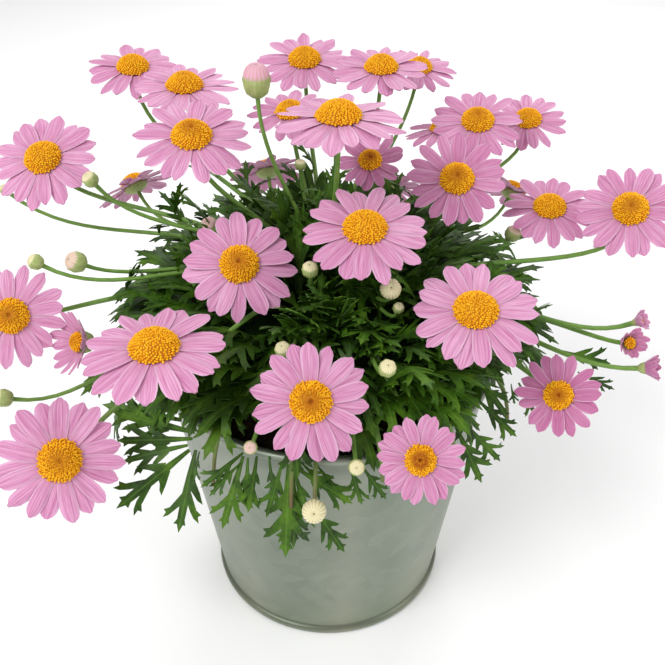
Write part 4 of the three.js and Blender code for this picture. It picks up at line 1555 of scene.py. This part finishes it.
    def build_shade_core(self, finish: Any) -> None:
        """A dark core in painted shade: it stands for the dense, deeply shaded inner leafage that the
        outer leaves and the stems stand out of.
        """
        draw = Draws(9)
        rings = [(0, -1)]
        rings += [(math.sin(math.pi * i / 12), -math.cos(math.pi * i / 12)) for i in range(1, 12)]
        rings.append((0, 1))
        points, faces, drawing = lathed(rings, 36)
        points *= np.array([0.76 + draw.spread(0.2) for _ in points])[:, None]
        points = points * np.array(self.reach) + np.array(self.middle)
        points[:, 2] = np.maximum(points[:, 2], 143 + 0.4 * np.sin(points[:, 0]))
        skin = Skin()
        skin.add(points, faces, drawing, np.zeros(3))
        hand_over(skin.mesh("inner_leafage"), "inner_leafage", finish, *FOLIAGE)


# Sprigs low round the bush: turn in degrees, and how far the tip drops in mm.
SPRIGS = (
    (-78, 0), (-54, 6), (-31, 8), (-9, 8), (14, -6), (36, 4),
    (62, 2), (92, 0), (128, 4), (170, 6), (-146, 4), (-110, 2),
)

# Leaves near a sprig's tip: share of its line, then turn aside, pitch and bend in degrees.
SPRIG_ENDS = ((0.6, 34, 10, 70), (0.8, -32, -4, 60), (0.98, 4, -44, 34))

# Leaves over the bush: seed, count, share of its reach, length in mm, degrees from its top.
SPREADS = (
    (32, 56, 0.9, 43, 0),
    (77, 330, 0.84, 37, 0),
    (123, 150, 0.6, 30, 0),
    (91, 130, 1.04, 40, 62),
)

# Leaves that hang over the rim: root and tip in mm, the turn round their own length, and their arch.
HANGING = (
    (-61, -72, 146, -92, -91, 129, 0, 20),
    (-58, -73, 147, -65, -97, 120, 0, 16),
    (-56, -75, 148, -59, -85, 138, 20, 20),
    (-62, -70, 147, -92, -74, 143, 30, 10),
    (-60, -68, 149, -95, -66, 146, 0, 15),
    (-59, -66, 151, -98, -56, 154, -10, 20),
    (-66, -59, 152, -103, -50, 155, 10, 20),
    (-36, -80, 152, -54, -91, 142, 0, 25),
    (-36, -81, 151, -45, -99, 125, 0, 20),
    (-37, -83, 149, -51, -94, 141, 30, 15),
    (-34, -82, 151, -35, -94, 131, 20, 20),
    (-30, -82, 152, -33, -95, 131, -15, 25),
    (-25, -81, 151, -23, -91, 129, 40, 15),
    (-19, -84, 150, -26, -96, 129, 0, 20),
    (-16, -87, 152, -18, -100, 110, 0, 25),
    (-15, -86, 150, -12, -99, 114, -30, 20),
    (-14, -88, 150, -7, -99, 125, 30, 15),
    (-13, -87, 150, 11, -92, 134, 0, 25),
    (-6, -92, 132, 8, -97, 107, 0, 15),
    (-11, -85, 151, 1, -89, 139, 20, 20),
    (-4, -85, 149, 7, -88, 133, 0, 15),
    (10, -85, 150, 15, -90, 130, 10, 15),
    (15, -85, 149, 26, -87, 131, 0, 20),
    (17, -83, 152, 28, -81, 143, -20, 15),
    (57, -68, 156, 70, -74, 128, 0, 20),
    (62, -67, 156, 78, -69, 136, 10, 20),
    (68, -54, 160, 87, -59, 142, 0, 20),
    (74, -46, 160, 84, -46, 154, 20, 15),
    (85, -44, 161, 87, -46, 150, 30, 15),
    (89, -42, 160, 99, -47, 143, 0, 15),
    (113, -15, 159, 139, -20, 152, 30, 20),
    (122, -25, 153, 139, -31, 145, 40, 15),
)


@dataclass
class LeafStation:
    """Where a leaf grows: its root, turn, length, first pitch and how far it arches over."""

    root: Points
    turn: float
    length: float
    pitch: float
    bend: float
    roll: float = 0.0

    def turned(self) -> tuple[float, float, float]:
        """How a leaf form is turned to grow here, as Euler angles."""
        return self.roll * DEGREE, -self.pitch * DEGREE, (self.turn - 90) * DEGREE


@dataclass
class HangingLeaf(LeafStation):
    """A leaf given by its root and its tip, with its face turned to the front and up."""

    face: tuple[float, float, float] = (0.0, -0.8, 0.6)
    chord: Points = field(default_factory=lambda: UP)

    @classmethod
    def between(
        cls, root: Sequence[float], tip: Sequence[float], roll: float, bend: float
    ) -> "HangingLeaf":
        """Sets a leaf between two places.

        Args:
            root: where it starts.
            tip: where it ends.
            roll: how it is turned round its own length.
            bend: how far it arches.

        Returns:
            The leaf.
        """
        start, end = np.array(root, dtype=float), np.array(tip, dtype=float)
        length = float(np.linalg.norm(end - start))
        return cls(start, 0.0, length, 0.0, bend, roll, chord=unit(end - start))

    def turned(self) -> tuple[float, float, float]:
        """How a leaf form is turned so that its tip comes where it should."""
        face = np.array(self.face)
        face = unit(face - self.chord * (face @ self.chord))
        aside = np.cross(face, self.chord)
        half = self.bend * DEGREE / 2
        ahead = self.chord * math.cos(half) + face * math.sin(half)
        over = face * math.cos(half) - self.chord * math.sin(half)
        turned = Matrix(np.column_stack((ahead, aside, over)).tolist())
        return tuple((turned @ Matrix.Rotation(self.roll * DEGREE, 3, "X")).to_euler("XYZ"))


@dataclass
class Leafage:
    """Forked leaves over the bush, on its sprigs and stems, and hanging over the rim.

    The last fields say how near a leaf may come: to the pot's rim and wall, to the soil, to a head
    (beside, below and above it) and to a bud.
    """

    plant: Plant
    forms: int = 10
    bends: tuple[float, ...] = (15, 40, 65, 90, 120)
    rib: float = 0.009
    channel: float = 0.005
    tries: int = 5
    lowest: float = 92
    hanging_within: float = 70
    turn_step: float = 137.5
    rim_top: float = 155
    rim_outside: float = 88
    wall_spread: float = 18
    wall_room: float = 6
    soil_top: float = 140
    soil_reach: float = 85
    head_room: tuple[float, float, float] = (2, 5, 7)
    bud_room: float = 3

    def outline(self, draw: Draws) -> tuple[list[tuple[float, float]], list[tuple[float, float]]]:
        """Draws one leaf flat, its root at 0 and its tip at 1 along X.

        Args:
            draw: seeded draws.

        Returns:
            The outline, anticlockwise, and the places of its ribs.
        """
        ribs = [(a, 0.0) for a in (0.1, 0.24, 0.38, 0.5, 0.62, 0.75, 0.87)]
        sides = []
        for hand in (1, -1):
            edge = [(0.0, 0.02), (0.16, 0.03), (0.3, 0.04)]
            lobes = [(0.59, 0.34, 34, 1)]
            if draw() < 0.75:
                lobes.insert(0, (0.37, 0.2 + 0.12 * draw(), 40, 0))
            for base, reach, open_way, toothed in lobes:
                base += draw.spread(0.07)
                reach += draw.spread(0.07)
                way = (open_way + draw.spread(14)) * DEGREE
                ahead = np.array((math.cos(way), math.sin(way)))
                out = np.array((-math.sin(way), math.cos(way)))
                start, half = np.array((base, 0.02)), 0.034 + draw.spread(0.006)
                edge.append((base - 0.06, 0.05))
                edge.append(tuple(start + ahead * reach * 0.56 + out * half))
                if toothed:
                    edge.append(tuple(start + ahead * reach * 0.78 + out * (half + 0.03)))
                    edge.append(tuple(start + ahead * reach * 0.78 + out * half * 0.6))
                edge.append(tuple(start + ahead * reach))
                edge.append(tuple(start + ahead * reach * 0.78 - out * half * 0.85))
                edge.append(tuple(start + ahead * reach * 0.5 - out * half))
                edge.append((base + 0.1, 0.05))
            edge += [(0.84, 0.046), (0.9, 0.074 + draw.spread(0.02)), (0.9, 0.036)]
            sides.append([(a, w * hand) for a, w in edge])
        right, left = sides
        return [*left, (1.0, 0.0), *right[::-1]], ribs

    def form_mesh(self, number: int, bend: float) -> bpy.types.Mesh:
        """One leaf as a thin closed blade, arched over by bend degrees, one unit long.

        Args:
            number: which drawing.
            bend: how far it arches.

        Returns:
            The mesh.
        """
        draw = Draws(900 + number * 37)
        edge, ribs = self.outline(draw)
        flat = [Vector(p) for p in [*edge, *ribs]]
        loop = list(range(len(edge)))
        made, _, every, origin, _, inside = delaunay_2d_cdt(flat, [], [loop], 0, 1e-6, True)
        triangles = [t for t, within in zip(every, inside) if within]
        is_rib = [bool(o) and min(o) >= len(edge) for o in origin]
        lobe_lift = [draw.spread(0.5) for _ in range(4)]
        bend_by = max(bend, 1.0) * DEGREE
        points, drawing = [], []

        def place(a: float, w: float, lift: float) -> None:
            """Bends one flat point to its place."""
            angle = bend_by * a
            quarter = (0 if w > 0 else 1) + (2 if a > 0.72 else 0)
            raised = lift - 0.9 * w * w + lobe_lift[quarter] * abs(w) * 0.7
            points.append(
                (
                    math.sin(angle) / bend_by + math.sin(angle) * raised,
                    w,
                    (math.cos(angle) - 1) / bend_by + math.cos(angle) * raised,
                )
            )
            drawing.append((0.5 + w, a))

        for level in (0.0, self.rib):
            for point, rib in zip(made, is_rib):
                place(point[0], point[1], -level - (self.channel if rib else 0.0))
        count = len(made)
        faces = [tuple(t) for t in triangles]
        faces += [tuple(i + count for i in reversed(t)) for t in triangles]
        sides = {(t[i], t[(i + 1) % 3]) for t in triangles for i in range(3)}
        faces += [(b, a, a + count, b + count) for a, b in sides if (b, a) not in sides]
        skin = Skin()
        skin.add(np.array(points), faces, np.array(drawing), np.zeros(3))
        return as_form(skin.mesh("leaf"))

    def tip_places(self, leaf: LeafStation) -> Points:
        """Places of a leaf that are tried for what is in its way."""
        along = np.array((0.3, 0.55, 0.6, 0.6, 0.75, 0.88, 0.88, 1.0))
        wide = np.array((0.0, 0.0, 0.3, -0.3, 0.0, 0.27, -0.27, 0.0))
        pitch, bend = leaf.pitch * DEGREE, max(leaf.bend, 1.0) * DEGREE
        angle = pitch - bend * along
        run = leaf.length * (math.sin(pitch) - np.sin(angle)) / bend
        climb = leaf.length * (np.cos(angle) - math.cos(pitch)) / bend
        dish = leaf.length * wide * wide * 0.9
        out = outward(leaf.turn, 1, 0)
        side = np.array((math.cos(leaf.turn * DEGREE), math.sin(leaf.turn * DEGREE), 0))
        return (
            leaf.root
            + np.outer(run + np.sin(angle) * dish, out)
            + np.outer(climb - np.cos(angle) * dish, UP)
            + np.outer(wide * leaf.length, side)
        )

    def blocked(self, leaf: LeafStation) -> bool:
        """True where a leaf would come too near a head, the pot's wall or rim, or the soil."""
        places = self.tip_places(leaf)
        reach = np.hypot(places[:, 0], places[:, 1])
        pot = self.plant.pot
        wall = pot.radius(0) + (places[:, 2] / pot.height) * self.wall_spread
        by_rim = (reach > wall - self.wall_room) & (reach < self.rim_outside)
        in_pot = (places[:, 2] < self.rim_top) & by_rim
        in_soil = (places[:, 2] < self.soil_top) & (reach < self.soil_reach)
        if in_pot[1:].any() or in_soil.any():
            return True
        beside, below, above = self.head_room
        for bloom in BLOOMS:
            offset = places - bloom.middle
            height = offset @ bloom.facing.normal
            apart = np.linalg.norm(offset - np.outer(height, bloom.facing.normal), axis=1)
            level = (height > -below - apart * 0.3) & (height < above)
            if ((apart < bloom.across / 2 + beside) & level).any():
                return True
        return any(
            (np.linalg.norm(places - bud.middle, axis=1) < bud.across / 2 + self.bud_room).any()
            for bud in BUDS
        )

    def cleared(self, leaf: LeafStation) -> list[LeafStation]:
        """Bends a leaf aside until nothing is in its way; none if that fails."""
        for attempt in range(self.tries):
            if not self.blocked(leaf):
                break
            leaf.turn += (-1 if attempt % 2 else 1) * (attempt + 1) * 18
            if attempt > 2:
                leaf.bend -= 24
                leaf.pitch += 14
        return [] if self.blocked(leaf) else [leaf]

    def spread_over(
        self, seed: int, count: int, depth: float, length: float, highest: float
    ) -> list[LeafStation]:
        """Leaves spread evenly over the bush, upright on top and arching over at the side.

        Args:
            seed: for the draws.
            count: how many.
            depth: the share of the bush's reach that their roots lie at.
            length: their middle length.
            highest: how far from the top the first ones are, in degrees.

        Returns:
            The leaves that have room.
        """
        draw = Draws(seed)
        middle, reach = np.array(self.plant.middle, dtype=float), np.array(self.plant.reach, dtype=float)
        leaves: list[LeafStation] = []
        lowest, first = math.cos(self.lowest * DEGREE), math.cos(highest * DEGREE)
        for i in range(count):
            share = (i + 0.5) / count
            from_top = math.acos(first - share * (first - lowest))
            share = 1 - first * (1 - share) if highest else share
            turn = i * self.turn_step + draw.spread(16)
            root = outward(turn, math.sin(from_top), math.cos(from_top)) * depth * reach + middle
            leaf = LeafStation(
                root,
                turn + draw.spread(50),
                length + draw.spread(9),
                84 - 46 * share + draw.spread(16),
                34 + 70 * share + draw.spread(20),
            )
            leaves += self.cleared(leaf)
        return leaves

    def stations(self) -> list[LeafStation]:
        """Every leaf: on the bush, deeper in it, on the sprigs and low on the flower stems."""
        leaves = [leaf for row in SPREADS for leaf in self.spread_over(*row)]
        leaves += [HangingLeaf.between(row[:3], row[3:6], row[6], row[7]) for row in HANGING]
        for index, sprig in enumerate(SPRIGS):
            if abs(sprig[0]) < self.hanging_within:
                continue
            line = self.plant.sprig_line(sprig)
            draw = Draws(57 + index * 13)
            for share, away, pitch, bend in SPRIG_ENDS:
                leaves += self.cleared(
                    LeafStation(
                        line(share),
                        sprig[0] + away + draw.spread(16),
                        37 + draw.spread(9),
                        pitch + draw.spread(12),
                        bend,
                    )
                )
            for k in range(4):
                share = 0.3 + 0.17 * k
                leaves += self.cleared(
                    LeafStation(
                        line(share),
                        sprig[0] + (-1) ** k * (48 - 4 * k) + draw.spread(24),
                        36 + draw.spread(8),
                        30 - 13 * k + draw.spread(20),
                        40 + draw.spread(30),
                        draw.spread(30),
                    )
                )
        draw = Draws(411)
        for line, _ in self.plant.carried():
            turn = 360 * draw()
            for share in (0.1, 0.2, 0.32, 0.45):
                turn += self.turn_step
                leaves += self.cleared(
                    LeafStation(
                        line(share),
                        turn + draw.spread(30),
                        33 - 24 * share + draw.spread(8),
                        62 + draw.spread(24),
                        40 + draw.spread(30),
                    )
                )
        return leaves

    def build(self, finish: Any) -> None:
        """Grows the leaves from their stations and hands them over."""
        folder = bpy.data.collections.new("leaf_forms")
        bpy.context.scene.collection.children.link(folder)
        for number in range(self.forms):
            for step, bend in enumerate(self.bends):
                name = "leaf_%02d_%02d" % (number, step)
                folder.objects.link(bpy.data.objects.new(name, self.form_mesh(number, bend)))
        leaves = self.stations()
        LOG.info("leaves: %d", len(leaves))
        draw = Draws(12)
        base = bpy.data.meshes.new("leaf_stations")
        base.from_pydata([tuple(float(v) * MM for v in leaf.root) for leaf in leaves], [], [])
        facing, forms, sizes = [], [], []
        for leaf in leaves:
            step = int(np.argmin([abs(b - leaf.bend) for b in self.bends]))
            forms.append(int(draw() * self.forms) % self.forms * len(self.bends) + step)
            sizes.append(leaf.length * MM)
            facing += leaf.turned()
        base.attributes.new("facing", "FLOAT_VECTOR", "POINT").data.foreach_set("vector", facing)
        base.attributes.new("form", "INT", "POINT").data.foreach_set("value", forms)
        base.attributes.new("size", "FLOAT", "POINT").data.foreach_set("value", sizes)
        mesh = leaf_tree().grow(base, "leaves", {"Leaves": folder, "Finish": finish})
        for form in list(folder.objects):
            bpy.data.objects.remove(form)
        bpy.data.collections.remove(folder)
        hand_over(mesh, "leaves", finish, *FOLIAGE)


# Stage

# Name, place in metres, size in metres and watts.
LIGHTS = (
    ("key", (-0.9, -0.9, 1.5), 0.9, 21),
    ("fill", (1.3, -0.7, 0.9), 0.8, 6),
    ("back", (0.3, 1.3, 1.2), 0.9, 9),
)


@dataclass
class Studio:
    """Pale floor, soft lights and a camera at the photograph's angle."""

    floor_half: float = 4.0
    facing_height: float = 0.18
    sky: float = 0.6
    camera_at: tuple[float, float, float] = (0.0025, -0.332, 0.394)
    camera_tilt: float = 54.7
    lens: float = 43.31
    sensor: float = 36.0
    clip: tuple[float, float] = (0.01, 50)

    def floor(self) -> None:
        """A plain pale floor."""
        coat = Coat("pale_floor", Base_Color=(0.96, 0.96, 0.96, 1.0), Roughness=0.9)
        mesh = bpy.data.meshes.new("floor")
        corners = ((-1, -1), (1, -1), (1, 1), (-1, 1))
        places = [(x * self.floor_half, y * self.floor_half, 0) for x, y in corners]
        mesh.from_pydata(places, [], [(0, 1, 2, 3)])
        shown(mesh, "floor", coat.material)

    def light(self, name: str, at: Sequence[float], size: float, watts: float) -> None:
        """A square soft light that faces the plant."""
        data = bpy.data.lights.new(name, "AREA")
        data.shape, data.size, data.energy = "SQUARE", size, watts
        lamp = bpy.data.objects.new(name, data)
        lamp.location = at
        way = Vector((0, 0, self.facing_height)) - Vector(at)
        lamp.rotation_euler = way.to_track_quat("-Z", "Y").to_euler()
        bpy.context.scene.collection.objects.link(lamp)

    def build(self) -> None:
        """Sets floor, lights and camera."""
        self.floor()
        for light in LIGHTS:
            self.light(*light)
        world = bpy.data.worlds.new("studio")
        world.use_nodes = True
        background = world.node_tree.nodes["Background"].inputs
        background["Color"].default_value = (1.0, 1.0, 1.0, 1.0)
        background["Strength"].default_value = self.sky
        scene = bpy.context.scene
        scene.world = world
        scene.view_settings.view_transform = "Standard"
        data = bpy.data.cameras.new("camera")
        data.lens, data.sensor_width = self.lens, self.sensor
        data.clip_start, data.clip_end = self.clip
        camera = bpy.data.objects.new("camera", data)
        camera.location = self.camera_at
        camera.rotation_euler = (self.camera_tilt * DEGREE, 0, 0)
        scene.collection.objects.link(camera)
        scene.camera = camera


def main() -> None:
    """Builds the pot, the soil, the plant and its flowers, then the stage."""
    logging.basicConfig(level=logging.INFO, format="%(name)s: %(message)s")
    pot = Pot()
    pot.build()
    Soil(pot).build()
    plant = Plant(pot)
    leaf_finish, bud_finish = LeafFinish().make(), BudFinish().make()
    plant.build_shoots(StemFinish().make())
    plant.build_cups(bud_finish)
    plant.build_buds(bud_finish)
    # painted shade: near-black greens for the core stand in for the deep shade inside the bush
    shadow = ("0B1506", "132308", "1D3310", "1D3310")
    plant.build_shade_core(LeafFinish(*shadow, roughness=0.9, gloss=0.05).make())
    Leafage(plant).build(leaf_finish)
    FlowerHeads().build()
    Studio().build()


if __name__ == "__main__":
    main()
